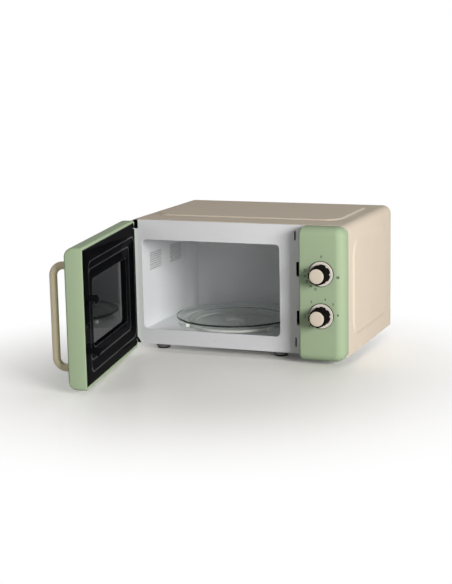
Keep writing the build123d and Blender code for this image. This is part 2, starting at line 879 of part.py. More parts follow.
def hinge(z_low, leg_up, pin_up):
    """A bracket behind the front plate whose tab comes forward and carries a pin."""
    half = hinge_leg_half
    y_leg = y_plate_back + hinge_tab
    tab = plate_z(area(hinge_x - half, hinge_x + half, hinge_y, y_leg), z_low, z_low + hinge_tab)
    tab += rod_z(hinge_x, hinge_y, z_low, z_low + hinge_tab, hinge_tab_radius)
    z0 = z_low + hinge_tab if leg_up else z_low - hinge_leg_length
    leg = block(hinge_x - half, hinge_x + half, y_plate_back, y_leg, z0, z0 + hinge_leg_length)
    pin_z = z_low + hinge_tab if pin_up else z_low - hinge_pin_length
    pin = rod_z(hinge_x, hinge_y, pin_z, pin_z + hinge_pin_length, hinge_pin_radius)
    holes = [rod_y(x, z, y_plate_back, y_leg, screw_radius) for x, z in hinge_screw_places()]
    return tab + leg + pin - holes


def upper_hinge():
    return hinge(hinge_z_high - hinge_tab, False, False)


def lower_hinge():
    return hinge(hinge_z_low, True, True)


# Front mouldings

def moulding(x0, x1, y0, z0, z1, corner, edge, round_left):
    """A block whose front edges are rounded on three sides and sharp on the fourth."""
    body = block(x0, x1, y0, y_front, z0, z1)
    upright = body.edges().filter_by(Axis.Y).sort_by(Axis.X)
    body = fillet(upright[:2] if round_left else upright[2:], corner)
    rim = body.faces().sort_by(Axis.Y)[0].edges().sort_by(Axis.X)
    return fillet(rim[:-1] if round_left else rim[1:], edge)


def moulding_shell(x0, x1, round_left):
    """A moulding hollowed from behind to an even wall."""
    wall = moulding_wall
    skin = moulding(x0, x1, y_face, z_front_low, z_front_high, front_corner, front_edge, round_left)
    inner = moulding(x0 + wall, x1 - wall, y_face + wall, z_front_low + wall, z_front_high - wall,
                     front_corner - wall, front_edge - wall, round_left)
    return skin - inner


def control_panel():
    panel = moulding_shell(panel_left, x_right, False)
    for z in knob_heights.values():
        panel -= rod_y(knob_x, z, y_face, y_face + moulding_wall, shaft_radius + shaft_hole_gap)
    return panel


def control_unit(z, half, depth):
    """The timer or the selector, seated on the inside of the control panel."""
    y0 = y_face + moulding_wall
    y1 = y0 + depth
    body = block(knob_x - half, knob_x + half, y0, y1, z - half, z + half)
    tab = terminal_thickness / 2
    tabs = block(knob_x - half / 2, knob_x + half / 2, y1, y1 + terminal_length, z - tab, z + tab)
    return body + tabs - rod_y(knob_x, z, y0, y0 + depth / 2, shaft_radius + running_gap)


# Door, made closed and then swung open

def dish_places():
    """Plan of the sloped dish in the inner cover, round the oven mouth."""
    return mouth_x0 - dish_side, mouth_x1 + dish_end, mouth_z0 - dish_side, mouth_z1 + dish_end


def well_places():
    """Plan of the window well inside the dish."""
    x0, x1, z0, z1 = dish_places()
    inset = dish_slope + well_inset
    return x0 + inset, x1 - inset, z0 + inset, z1 - inset


def glass_places():
    """Plan of the opening in the door's front."""
    x0, x1, z0, z1 = well_places()
    return x0 - well_inset, x1 + well_inset, z0 - well_inset, z1 + well_inset


def tab_slots():
    """Room in the door for the two hinge tabs as the door swings."""
    reach = hinge_tab_radius + 2 * swing_gap
    room = []
    for z in (hinge_z_low, hinge_z_high - hinge_tab):
        room.append(block(x_left - swing_gap, hinge_x + reach, hinge_y - reach - swing_gap, y_front,
                          z - swing_gap, z + hinge_tab + swing_gap))
    return room


def heel():
    """What the door's hinge edge loses so that it turns clear of the front plate and its screws."""
    radius = hinge_forward - screw_head_height - 2 * clear_gap
    corner = block(x_left - swing_gap, hinge_x, hinge_y, y_front, z_front_low, z_front_high)
    return corner - rod_z(hinge_x, hinge_y, z_front_low, z_front_high, radius)


def handle_ends():
    return z_front_low + handle_low_gap + handle_radius, z_front_high - handle_high_gap - handle_radius


def handle_x():
    return door_right - handle_inset


def door_frame():
    shell = moulding_shell(x_left, door_right, True)
    shell -= block(x_left, door_right, y_door_back, y_front, z_front_low, z_front_high)
    shell -= plate_y(area(*glass_places(), well_corner), y_face, y_face + moulding_wall)
    shell -= tab_slots() + [heel()]
    return shell - [rod_y(handle_x(), z, y_face, y_face + moulding_wall, screw_radius) for z in handle_ends()]


def door_glass():
    x0, x1, z0, z1 = glass_places()
    lap = outer_glass_lap
    y0 = y_face + moulding_wall
    return plate_y(area(x0 - lap, x1 + lap, z0 - lap, z1 + lap, well_corner), y0, y0 + outer_glass_thickness)


def cover_floor():
    """How far forward of the door's back the bottom of the window well lies."""
    return y_door_back - dish_depth - well_depth


def choke_cover():
    edge = moulding_wall + seam
    corner = front_corner - edge
    outline = area(x_left + edge, door_right - edge, z_front_low + edge, z_front_high - edge)
    outline = fillet(outline.vertices().sort_by(Axis.X)[:2], corner)
    cover = plate_y(outline, y_door_back - cover_wall, y_door_back)
    x0, x1, z0, z1 = dish_places()
    back = Plane(origin=((x0 + x1) / 2, y_door_back, (z0 + z1) / 2), x_dir=(1, 0, 0), z_dir=(0, -1, 0))
    width, height = x1 - x0, z1 - z0
    wall = cover_wall
    cover += tapered(back.offset(wall), width + 2 * wall, height + 2 * wall, dish_corner + wall, dish_slope,
                     dish_depth)
    well = area(*well_places(), well_corner)
    x0, x1, z0, z1 = well_places()
    floor = cover_floor()
    cover += plate_y(area(x0 - wall, x1 + wall, z0 - wall, z1 + wall, well_corner + wall), floor - wall,
                     y_door_back - dish_depth - wall)
    cover -= tapered(back, width, height, dish_corner, dish_slope, dish_depth)
    cover -= plate_y(well, floor, y_door_back - dish_depth)
    lip = window_lip
    cover -= plate_y(area(x0 + lip, x1 - lip, z0 + lip, z1 - lip, well_corner - lip), floor - wall, floor)
    for height in latch_heights:
        half = latch_thickness / 2 + swing_gap
        low = height - latch_arm / 2 - latch_nose - swing_gap
        high = height + latch_arm / 2 + latch_travel + swing_gap
        cover -= block(latch_x - half, latch_x + half, y_door_back - wall, y_door_back, low, high)
    cover -= tab_slots() + [heel()]
    stop = spring_top()
    half = latch_bar_width / 2
    y_stop = y_door_back - wall
    return cover + block(latch_x - half, latch_x + half, y_stop - spring_stop_depth, y_stop, stop,
                         stop + spring_stop_height)


def inner_window():
    x0, x1, z0, z1 = well_places()
    floor = cover_floor()
    gap = clear_gap
    outline = area(x0 + gap, x1 - gap, z0 + gap, z1 - gap, well_corner - gap)
    return plate_y(outline, floor, floor + inner_window_thickness)


def door_screen():
    """The steel pan of the door, holed like a sieve behind the window, which is left plain here."""
    y1 = cover_floor() - cover_wall
    x0, x1 = hinge_x + hinge_tab_radius + swing_gap, latch_x - latch_bar_width
    z0, z1 = z_front_low + front_edge, z_front_high - front_edge
    pan = block(x0, x1, y1 - sheet, y1, z0, z1)
    rim = block(x0, x1, y1, y1 + screen_flange, z0, z1)
    rim -= block(x0 + sheet, x1 - sheet, y1, y1 + screen_flange, z0 + sheet, z1 - sheet)
    return pan + rim


def hinge_bushes():
    """Two bearing blocks in the door's hinge edge, one on each pin."""
    y1 = y_door_back - cover_wall
    half = hinge_bush_half
    low = hinge_z_low + hinge_tab + clear_gap
    high = hinge_z_high - hinge_tab - clear_gap
    bushes = []
    for z0, z1 in ((low, low + hinge_bush_length), (high - hinge_bush_length, high)):
        bush = block(x_left + moulding_wall + 2 * clear_gap, hinge_x + half, hinge_y - half, y1, z0, z1)
        bushes.append(bush - rod_z(hinge_x, hinge_y, z0, z1, hinge_pin_radius + running_gap))
    return joined(bushes)


def handle():
    low, high = handle_ends()
    x = handle_x()
    y_bar = y_face - handle_reach + handle_radius
    corners = [(x, y_face, high), (x, y_bar, high), (x, y_bar, low), (x, y_face, low)]
    path = FilletPolyline(*corners, radius=handle_bend)
    section = Plane(origin=path @ 0, x_dir=(1, 0, 0), z_dir=path % 0) * Circle(handle_radius)
    bar = sweep(section, path=path)
    return bar - [rod_y(x, z, y_face - handle_screw_depth, y_face, screw_radius) for z in (low, high)]


def handle_screws():
    seat = y_face + moulding_wall
    return joined(screw(handle_x(), z, seat, moulding_wall + handle_screw_depth, 1) for z in handle_ends())


def bar_front():
    """Front and back of the latch bar inside the door."""
    y1 = y_door_back - cover_wall - clear_gap
    return y1 - latch_bar_thickness, y1


def bar_ends():
    return latch_heights[0] - latch_arm, latch_heights[1] + latch_arm


def spring_top():
    return bar_ends()[1] + latch_spring_length + 2 * clear_gap


def door_latch():
    y0, y1 = bar_front()
    low, high = bar_ends()
    latch = block(latch_x - latch_bar_width / 2, latch_x + latch_bar_width / 2, y0, y1, low, high)
    tip = y_door_back + latch_reach
    for height in latch_heights:
        bottom, top = height - latch_arm / 2, height + latch_arm / 2
        nose = bottom - latch_nose
        heel, toe = tip - 2 * latch_nose, tip - latch_nose
        profile = [(y1, bottom), (heel, bottom), (heel, nose), (toe, nose), (tip, bottom + latch_nose),
                   (toe, top), (y1, top)]
        half = latch_thickness / 2
        latch += plate_x(make_face(Polyline(*profile, close=True)), latch_x - half, latch_x + half)
    return latch


def latch_spring():
    y0, y1 = bar_front()
    y = (y0 + y1) / 2
    z0 = bar_ends()[1] + clear_gap
    z1 = z0 + latch_spring_length
    coil = rod_z(latch_x, y, z0, z1, latch_spring_radius)
    return coil - rod_z(latch_x, y, z0, z1, latch_spring_radius - sheet)


# Knobs, each made along Z and then turned to face forwards

def on_panel(z, shape):
    plane = Plane(origin=(knob_x, y_face - knob_standoff, z), x_dir=(1, 0, 0), z_dir=(0, -1, 0))
    return plane * shape


def knob_dial(z):
    disc = rod_z(0, 0, 0, dial_thickness, dial_radius)
    return on_panel(z, disc - rod_z(0, 0, 0, dial_thickness, shaft_radius))


def knob_grip(z):
    length = grip_length
    base = dial_thickness
    grip = Pos(0, 0, base + length / 2) * Cone(grip_base_radius, grip_face_radius, length)
    for step in range(grip_flutes):
        angle = math.radians(step * 360 / grip_flutes)
        reach = grip_base_radius + grip_flute_radius / 2
        x, y = reach * math.cos(angle), reach * math.sin(angle)
        grip -= rod_z(x, y, base, base + length, grip_flute_radius)
    grip -= rod_z(0, 0, base + length - cap_sink, base + length, cap_radius)
    return on_panel(z, grip - rod_z(0, 0, base, base + length / 2, shaft_radius))


def knob_cap(z):
    seat = dial_thickness + grip_length - cap_sink
    return on_panel(z, rod_z(0, 0, seat, seat + cap_thickness, cap_radius))


def knob_shaft(z, depth):
    inner = moulding_wall + depth / 2 + knob_standoff - clear_gap
    return on_panel(z, rod_z(0, 0, -inner, dial_thickness + grip_length / 2, shaft_radius))


# Turntable

def about_tray(shape):
    return Pos(tray_x, tray_y, 0) * shape


def arm_angles():
    return [90.0 + step * 360.0 / arm_count for step in range(arm_count)]


def turntable_motor():
    z1 = track_z - sheet
    can = rod_z(0, 0, z_pan, z1, turntable_motor_radius)
    return about_tray(can - rod_z(0, 0, z_pan + motor_bearing, z1, coupler_stem_radius + running_gap))


def turntable_coupler():
    z1 = tray_z - clear_gap
    z0 = z1 - coupler_height
    stem_end = z_pan + motor_bearing + clear_gap
    hub = rod_z(0, 0, z0, z1, coupler_arm_width) + rod_z(0, 0, stem_end, z0, coupler_stem_radius)
    for angle in arm_angles():
        half = coupler_arm_width / 2
        hub += Rot(0, 0, angle) * block(0, coupler_arm, -half, half, z0, z1)
    return about_tray(hub)


def glass_tray():
    z1 = tray_z + tray_rim_height
    base = tray_radius - tray_flare
    wall = tray_thickness
    top = tray_z + wall
    dish = turned([(0, tray_z), (base, tray_z), (tray_radius, z1 - wall), (tray_radius, z1),
                   (tray_radius - wall, z1), (base - wall / 2, top), (0, top)])
    lug = tray_lug
    side = coupler_arm_width / 2 + 2 * clear_gap
    for angle in arm_angles():
        nub = block(coupler_arm - lug, coupler_arm, side, side + lug, tray_z - coupler_height, tray_z)
        dish += Rot(0, 0, angle) * nub
    return about_tray(dish)


def roller_ring():
    z0, z1 = roller_z - ring_height / 2, roller_z + ring_height / 2
    near, far = roller_middle - roller_width / 2, roller_middle + roller_width / 2
    outer = near - roller_radius
    ring = turned([(outer - ring_width, z0), (outer, z0), (outer, z1), (outer - ring_width, z1)])
    for angle in arm_angles():
        head_start = far + clear_gap
        head_end = head_start + axle_head_length
        axle = rod_x(0, roller_z, outer - ring_width / 2, head_end, axle_radius)
        axle += rod_x(0, roller_z, outer - ring_width / 2, near - clear_gap, axle_head)
        axle += rod_x(0, roller_z, head_start, head_end, axle_head)
        ring += Rot(0, 0, angle) * axle
    return about_tray(ring)


def roller(angle):
    near, far = roller_middle - roller_width / 2, roller_middle + roller_width / 2
    wheel = rod_x(0, roller_z, near, far, roller_radius)
    wheel -= rod_x(0, roller_z, near, far, axle_radius + running_gap)
    return about_tray(Rot(0, 0, angle) * wheel)


case_nodes = {
    "outer_wrapper": outer_wrapper(),
    "front_plate": front_plate(),
    "base_plate": base_plate(),
    "rear_panel": rear_panel(),
    "cord_inlet": cord_inlet(),
    "feet": feet(),
    "case_screws": case_screws(),
    "cavity_left_wall": cavity_left_wall(),
    "cavity_right_wall": cavity_right_wall(),
    "cavity_ceiling": cavity_ceiling(),
    "cavity_floor": cavity_floor(),
    "cavity_rear_wall": cavity_rear_wall(),
    "cavity_rails": cavity_rails(),
    "waveguide_cover": waveguide_cover(),
    "waveguide": waveguide(),
    "magnetron": magnetron(),
    "transformer_core": transformer_core(),
    "transformer_windings": transformer_windings(),
    "capacitor": capacitor(),
    "high_voltage_diode": high_voltage_diode(),
    "fan_shroud": fan_shroud(),
    "fan_motor": fan_motor(),
    "fan_blade": fan_blade(),
    "lamp_holder": lamp_holder(),
    "lamp_bulb": lamp_bulb(),
    "thermal_cutout": thermal_cutout(),
    "filter_board": filter_board(),
    "latch_bracket": latch_bracket(),
    "interlock_switches": interlock_switches(),
    "upper_hinge": upper_hinge(),
    "lower_hinge": lower_hinge(),
    "control_panel": control_panel(),
    "timer_unit": control_unit(knob_heights["timer"], timer_half, timer_depth),
    "power_selector": control_unit(knob_heights["power"], selector_half, selector_depth),
    "turntable_motor": turntable_motor(),
}
door_nodes = {
    "door_frame": door_frame(),
    "door_glass": door_glass(),
    "choke_cover": choke_cover(),
    "inner_window": inner_window(),
    "door_screen": door_screen(),
    "hinge_bushes": hinge_bushes(),
    "handle": handle(),
    "handle_screws": handle_screws(),
    "door_latch": door_latch(),
    "latch_spring": latch_spring(),
}
turning_nodes = {
    "turntable_coupler": turntable_coupler(),
    "glass_tray": glass_tray(),
    "roller_ring": roller_ring(),
}
for number, angle in enumerate(arm_angles(), start=1):
    turning_nodes[f"roller_{number}"] = roller(angle)
for name, depth in (("timer", timer_depth), ("power", selector_depth)):
    height = knob_heights[name]
    turning_nodes[f"{name}_dial"] = knob_dial(height)
    turning_nodes[f"{name}_grip"] = knob_grip(height)
    turning_nodes[f"{name}_cap"] = knob_cap(height)
    turning_nodes[f"{name}_shaft"] = knob_shaft(height, depth)

nodes = case_nodes | turning_nodes | {name: open_door(shape) for name, shape in door_nodes.items()}
os.makedirs("parts", exist_ok=True)
for name, shape in nodes.items():
    export_step(shape, f"parts/{name}.step")
print(f"{len(nodes)} nodes, tray at {tray_x:.2f}, {tray_y:.2f}, hinge at {hinge_x:.2f}, {hinge_y:.2f}")
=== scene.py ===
# %% [markdown]
# # A microwave oven, from the frame to the finished look
# The measured solids come in as a fixed frame. Each step below takes one piece or one finish of the real
# oven, says how it is made in the factory, and gives the model the same form: pressed sheet, moulded
# plastic, glass. Places are read from the frame, so that nothing is typed in twice. All lengths are in
# metres, X to the right, Y to the back, Z up, with the table at zero.

# %% Load the frame
import json
import math

import bmesh
import bpy
from mathutils import Matrix, Vector


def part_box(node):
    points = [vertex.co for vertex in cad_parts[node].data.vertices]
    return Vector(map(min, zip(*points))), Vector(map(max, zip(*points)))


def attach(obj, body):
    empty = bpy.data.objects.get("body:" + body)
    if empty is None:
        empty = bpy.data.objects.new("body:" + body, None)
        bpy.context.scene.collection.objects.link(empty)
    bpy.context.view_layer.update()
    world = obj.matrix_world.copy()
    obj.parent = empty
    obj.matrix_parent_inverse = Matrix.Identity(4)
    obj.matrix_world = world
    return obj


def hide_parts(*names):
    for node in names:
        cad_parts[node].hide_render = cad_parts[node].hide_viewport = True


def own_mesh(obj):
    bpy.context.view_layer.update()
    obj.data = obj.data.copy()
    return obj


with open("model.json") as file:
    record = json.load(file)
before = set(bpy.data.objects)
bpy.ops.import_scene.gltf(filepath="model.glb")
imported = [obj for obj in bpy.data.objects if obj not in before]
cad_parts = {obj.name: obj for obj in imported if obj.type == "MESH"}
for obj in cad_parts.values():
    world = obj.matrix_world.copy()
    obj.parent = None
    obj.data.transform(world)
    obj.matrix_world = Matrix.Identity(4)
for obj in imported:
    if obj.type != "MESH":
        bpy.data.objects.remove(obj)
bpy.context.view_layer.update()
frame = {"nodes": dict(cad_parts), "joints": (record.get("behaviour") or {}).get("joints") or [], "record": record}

mm = 0.001

# %% [markdown]
# ## One function for nodes
# Shaders and Geometry Nodes trees are both graphs. `node` adds one node, sets its properties, and fills its
# sockets with numbers or with wires from other nodes. `ink` turns a colour as written on paper, an sRGB hex
# code, into the linear numbers that the shaders want.

# %% Node tools
def node(tree, kind, inputs=None, **settings):
    """Add a node with its settings; an input is a value, another node's output, or a node for its first."""
    made = tree.nodes.new(kind)
    for name, value in settings.items():
        setattr(made, name, value)
    for key, value in (inputs or {}).items():
        if isinstance(value, bpy.types.Node):
            value = value.outputs[0]
        if isinstance(value, bpy.types.NodeSocket):
            tree.links.new(value, made.inputs[key])
        else:
            made.inputs[key].default_value = value
    return made


def ink(code):
    """Linear RGBA from an sRGB hex code."""
    shares = [int(code[k:k + 2], 16) / 255 for k in (1, 3, 5)]
    linear = [s / 12.92 if s <= 0.04045 else ((s + 0.055) / 1.055) ** 2.4 for s in shares]
    return (*linear, 1.0)


print("linear mid grey:", round(ink("#808080")[0], 3))


# %% A blank finish and what varies on it
def blank_material(name, **sockets):
    """A material with its one Principled shader, the even values set on the shader's own sockets."""
    material = bpy.data.materials.new(name)
    material.use_nodes = True
    shader = material.node_tree.nodes["Principled BSDF"]
    for socket, value in sockets.items():
        shader.inputs[socket.replace("_", " ")].default_value = value
    return material, material.node_tree, shader


def tone_and_gloss(tree, shader, pattern, tones, rough):
    """Let a pattern sway a shader's colour between two tones and its roughness between two values."""
    tone = node(tree, "ShaderNodeMixRGB", {"Fac": pattern, "Color1": ink(tones[0]), "Color2": ink(tones[1])})
    gloss = node(tree, "ShaderNodeMapRange", {"Value": pattern, "To Min": rough[0], "To Max": rough[1]})
    tree.links.new(tone.outputs["Color"], shader.inputs["Base Color"])
    tree.links.new(gloss.outputs["Result"], shader.inputs["Roughness"])


def fine_relief(tree, shader, place, size, height, strength, detail):
    """Give a shader's surface bumps of a size and a height in mm."""
    pores = node(tree, "ShaderNodeTexNoise", {"Vector": place, "Scale": 1 / (size * mm), "Detail": detail})
    bump = node(tree, "ShaderNodeBump", {"Height": pores.outputs["Fac"], "Strength": strength,
                                         "Distance": height * mm})
    tree.links.new(bump.outputs["Normal"], shader.inputs["Normal"])


def wandering(name, tones, rough, patch, grain, relief, **sockets):
    """A finish whose tone and gloss wander over patches, with a grain of some relief; sizes in mm."""
    material, tree, shader = blank_material(name, **sockets)
    place = node(tree, "ShaderNodeTexCoord").outputs["Object"]
    cloud = node(tree, "ShaderNodeTexNoise", {"Vector": place, "Scale": 1 / (patch * mm), "Detail": 3.0})
    tone_and_gloss(tree, shader, cloud.outputs["Fac"], tones, rough)
    fine_relief(tree, shader, place, grain, relief, strength=0.5, detail=2.0)
    return material


# %% [markdown]
# ## Coats and bare metals
# The case is steel sheet with a baked beige powder coat: the powder melts into a satin skin with a faint
# orange peel about a millimetre across. Its inside has a thin dull primer in dark grey, which also serves as
# painted shade behind the cavity's vents. The front plate and the cavity carry a pale grey enamel, smoother
# and glossier. Bare zinc-plated steel at the back has soft crystals, or spangle, a few millimetres wide. Cast
# aluminium and copper wire have finer ones, and are made by the same function.

# %% Coats
# powder coat: satin, the light spread softly by its orange peel
powder_coat = wandering("powder_coated_steel_beige", ("#E1D3C0", "#DDCFBC"), (0.50, 0.60), 60, 1.1, 0.02,
                        Specular_IOR_Level=0.0, Coat_Weight=0.1, Coat_Roughness=0.42)
# baked enamel: smooth and pale, with a clear sheen
grey_enamel = wandering("baked_enamel_pale_grey", ("#EBEBEC", "#E7E7E9"), (0.26, 0.31), 80, 2.4, 0.004)
# primer: dull, and dark grey as painted shade behind the cavity's vents
backing_painted_shade = wandering("backing_primer_dark_grey", ("#4A4B4A", "#424342"), (0.5, 0.6), 40, 1.1, 0.01)
# varnished core: nearly black, with a little metal showing through
core_steel = wandering("varnished_core_steel", ("#2A2726", "#3A3633"), (0.34, 0.5), 12, 0.7, 0.05,
                       Metallic=0.6)
print("four coats")


# %% Bare metals
def bare_metal(name, tones, crystal, rough):
    """Metal with a patchwork of crystals, their size in mm, that differ in tone and gloss."""
    material, tree, shader = blank_material(name, Metallic=1.0)
    place = node(tree, "ShaderNodeTexCoord").outputs["Object"]
    crystals = node(tree, "ShaderNodeTexVoronoi", {"Vector": place, "Scale": 1 / (crystal * mm)})
    tone_and_gloss(tree, shader, crystals.outputs["Color"], tones, rough)
    return material


# zinc plate: a mosaic of lighter and darker greys
zinc_steel = bare_metal("zinc_plated_steel", ("#A9ACAE", "#BCBFC0"), 6.0, (0.32, 0.46))
# zinc on small parts: finer, paler and brighter
hinge_steel = bare_metal("zinc_plated_hinge_steel", ("#B4B7B8", "#C6C8C9"), 1.5, (0.22, 0.34))
# cast aluminium: a soft and even shine
aluminium = bare_metal("cast_aluminium", ("#B8BBBD", "#C4C6C7"), 3.0, (0.34, 0.48))
# enamelled wire: red-brown and bright
copper = bare_metal("enamelled_copper_wire", ("#8C4A22", "#A55A2A"), 1.0, (0.22, 0.34))
print("four bare metals")

# %% [markdown]
# ## Moulded plastics, rubber and mica
# The door and the control panel are ABS, moulded against a polished tool, so they come out satin with a very
# faint waviness. The door's black cover is glossier, and its small radii are polished, so that they catch the
# light as thin lines. The knob grips are black with a duller skin. Feet are rubber, rollers are nylon, and
# the cover over the microwave's inlet is pressed mica with its flakes showing.

# %% Hard plastics
# mint: an even, milky green under a thin sheen
mint_abs = wandering("moulded_ABS_mint", ("#ABBD9B", "#A7B997"), (0.4, 0.5), 90, 3.0, 0.003,
                     Specular_IOR_Level=0.0, Coat_Weight=0.15, Coat_Roughness=0.24)
# cream for the caps, a paler ivory for the dials and a yellower sand for the handle: satin, a little glossy
cream_abs = wandering("moulded_ABS_cream", ("#E1D3C0", "#DBCDBA"), (0.26, 0.36), 40, 1.4, 0.006)
ivory_abs = wandering("moulded_ABS_ivory", ("#EAE2D6", "#E4DBCE"), (0.28, 0.36), 30, 1.4, 0.006)
sand_abs = wandering("moulded_ABS_sand", ("#E6D7B8", "#DFD0B0"), (0.28, 0.38), 40, 1.6, 0.008)
# gloss black: deep, with a faint clear reflection
black_abs = wandering("moulded_ABS_gloss_black", ("#060608", "#09090C"), (0.3, 0.4), 60, 3.0, 0.003,
                      Specular_IOR_Level=0.0, Coat_Weight=0.08, Coat_Roughness=0.06)
# polished radii: thin bright lines on the black
edge_gloss = wandering("moulded_ABS_polished_edge", ("#0A0A0C", "#0E0E11"), (0.12, 0.16), 60, 3.0, 0.003,
                       Specular_IOR_Level=0.16)
# grip nylon: a dull black skin that shows its form by soft highlights
grip_black = wandering("moulded_nylon_black", ("#0E0C0C", "#141111"), (0.42, 0.54), 10, 0.6, 0.02,
                       Specular_IOR_Level=0.0, Coat_Weight=0.06, Coat_Roughness=0.3)
# natural nylon: off-white and a little waxy
white_nylon = wandering("moulded_nylon_white", ("#E4E3DE", "#DBDAD4"), (0.34, 0.46), 18, 0.8, 0.015)
print("eight hard plastics")

# %% Rubber, paint, mica, board and ink
# rubber: dull, with hardly a highlight
rubber = wandering("moulded_rubber_black", ("#141414", "#1B1B1A"), (0.62, 0.78), 9, 0.5, 0.04)
foot_grey = wandering("moulded_rubber_grey", ("#8C8C8A", "#80807E"), (0.5, 0.64), 9, 0.5, 0.03)
# stove paint: an even satin black
black_paint = wandering("stove_painted_steel_black", ("#101011", "#161617"), (0.4, 0.5), 14, 0.7, 0.01)
# mica: flakes of lighter and darker brown
mica = wandering("pressed_mica_sheet", ("#B9A98A", "#8F7F63"), (0.38, 0.6), 3.0, 1.0, 0.04)
# glass-fibre board: dark green, its gloss a little uneven
board_green = wandering("glass_epoxy_board", ("#2F5A38", "#274C30"), (0.3, 0.42), 6, 0.8, 0.02)
# printing ink: a dark, satin green
print_ink = wandering("printing_ink_dark", ("#2C3A2E", "#243026"), (0.4, 0.5), 4, 0.4, 0.004)
print("six more finishes")

# %% [markdown]
# ## Glass
# The tray is thick pressed glass, faintly green at its edge, with a slow ripple left by the mould. The door's
# panes are smoked: they take most of the light, and what is seen in them is mainly reflection. Real glass
# throws hardly any shadow, but a path tracer finds the light through it only by luck, so shadow rays pass
# straight through, tinted.

# %% Glass finishes
def rippled_glass(name, tint, rough, ripple, bend_index=1.5, **sockets):
    """Glass with a slow ripple, its size in mm, that tints the light instead of stopping it."""
    material, tree, shader = blank_material(name, Base_Color=ink(tint), Roughness=rough, IOR=bend_index,
                                            **sockets)
    place = node(tree, "ShaderNodeTexCoord").outputs["Object"]
    fine_relief(tree, shader, place, ripple, height=0.05, strength=0.3, detail=1.0)
    rays = node(tree, "ShaderNodeLightPath")
    clear = node(tree, "ShaderNodeBsdfTransparent", {"Color": ink(tint)})
    both = node(tree, "ShaderNodeMixShader", {0: rays.outputs["Is Shadow Ray"], 1: shader, 2: clear})
    tree.links.new(both.outputs["Shader"], tree.nodes["Material Output"].inputs["Surface"])
    return material


# pressed glass: clear and faintly green, what lies behind it bent by the ripple
tray_glass = rippled_glass("pressed_soda_glass", "#EEF3F0", 0.06, 14, bend_index=1.32,
                           Transmission_Weight=1.0)
# lamp glass: thin and almost without colour
lamp_glass = rippled_glass("blown_lamp_glass", "#F6F4EE", 0.02, 9, Transmission_Weight=1.0)
# smoked glass: nearly black, seen by what it mirrors
smoked_glass = rippled_glass("smoked_glass", "#191A1D", 0.05, 40, Transmission_Weight=0.8,
                             Specular_IOR_Level=0.0, Coat_Weight=0.07, Coat_Roughness=0.02)
print("three glasses")

# %% [markdown]
# ## Dress the solids that stay
# Solids whose shape is already right keep their mesh and only change their finish. The record says which
# slot each node belongs to, and one table turns a slot into a finish. The lamp and the handle have finishes
# of their own.

# %% Finishes for the frame's own solids
slot_finish = {
    "case_enamel": powder_coat, "oven_enamel": grey_enamel, "zinc_steel": zinc_steel,
    "mint_plastic": mint_abs, "cream_plastic": cream_abs, "black_plastic": black_abs,
    "knob_black": grip_black, "foot_rubber": rubber, "clear_glass": tray_glass,
    "dark_glass": smoked_glass, "white_plastic": white_nylon, "mica": mica, "copper_winding": copper,
    "core_steel": core_steel, "aluminium": aluminium, "board": board_green, "hinge_steel": hinge_steel,
}
slot_of = {row["node"]: row["material_slot"] for row in frame["record"]["subparts"]}
for name, solid in frame["nodes"].items():
    if not solid.material_slots:
        solid.data.materials.append(None)
    for place in solid.material_slots:
        place.material = slot_finish[slot_of[name]]
for name, finish in (("lamp_bulb", lamp_glass), ("handle", sand_abs)):
    frame["nodes"][name].material_slots[0].material = finish
print(len(slot_of), "solids dressed")

# %% [markdown]
# ## Small tools
# Every new piece goes the same way: points and faces become an object, `bake` turns its modifiers into a
# plain mesh, `tidy` merges doubled points and turns the faces outwards, and `hand_in` dresses the piece and
# seats it on the body that carries it.

# %% Objects and clean meshes
usual_crease = 32


def sharpen(mesh, crease=usual_crease):
    """Smooth shading with hard edges where faces meet at more than the crease angle."""
    mesh.shade_smooth()
    mesh.set_sharp_from_angle(angle=math.radians(crease))


def placed(name, data):
    """A new object for some data, put into the scene."""
    made = bpy.data.objects.new(name, data)
    bpy.context.scene.collection.objects.link(made)
    return made


def new_object(name, vertices, faces):
    """A mesh object from points and faces."""
    mesh = bpy.data.meshes.new(name)
    mesh.from_pydata([tuple(vertex) for vertex in vertices], [], faces)
    return placed(name, mesh)


def tidy(piece, weld=0.002 * mm):
    """Merge doubled points and turn every face outwards."""
    work = bmesh.new()
    work.from_mesh(piece.data)
    bmesh.ops.remove_doubles(work, verts=work.verts, dist=weld)
    bmesh.ops.recalc_face_normals(work, faces=work.faces)
    work.to_mesh(piece.data)
    work.free()
    sharpen(piece.data)
    return piece


# %% Baking and handing in
def evaluated_mesh(piece):
    """A plain mesh of an object as its modifiers leave it."""
    graph = bpy.context.evaluated_depsgraph_get()
    graph.update()
    return bpy.data.meshes.new_from_object(piece.evaluated_get(graph))


def bake(piece):
    """Turn a piece's modifiers into a plain mesh."""
    baked = evaluated_mesh(piece)
    baked.name = piece.name
    piece.modifiers.clear()
    piece.data = baked
    sharpen(baked)
    return piece


def hand_in(piece, body, material, slot, *nodes, crease=usual_crease):
    """Dress a piece, unless it has two finishes already, seat it, and hide the solids it stands for."""
    if len(piece.data.materials) < 2:
        piece.data.materials.clear()
        piece.data.materials.append(material)
    sharpen(piece.data, crease)
    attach(piece, body)
    if nodes:
        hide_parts(*nodes)
    print(f"{piece.name}: {len(piece.data.polygons)} faces, {material.name}")


# %% [markdown]
# ## The wrapper
# One steel sheet is bent over the cavity into an arch, and a press raises a flat panel on the top and on each
# side to stiffen it. A grid that follows the arch does the same: each point moves out by the press height,
# rising in a soft S over the slope. The rear edge is folded in as a flange, and Solidify gives the sheet its
# thickness.

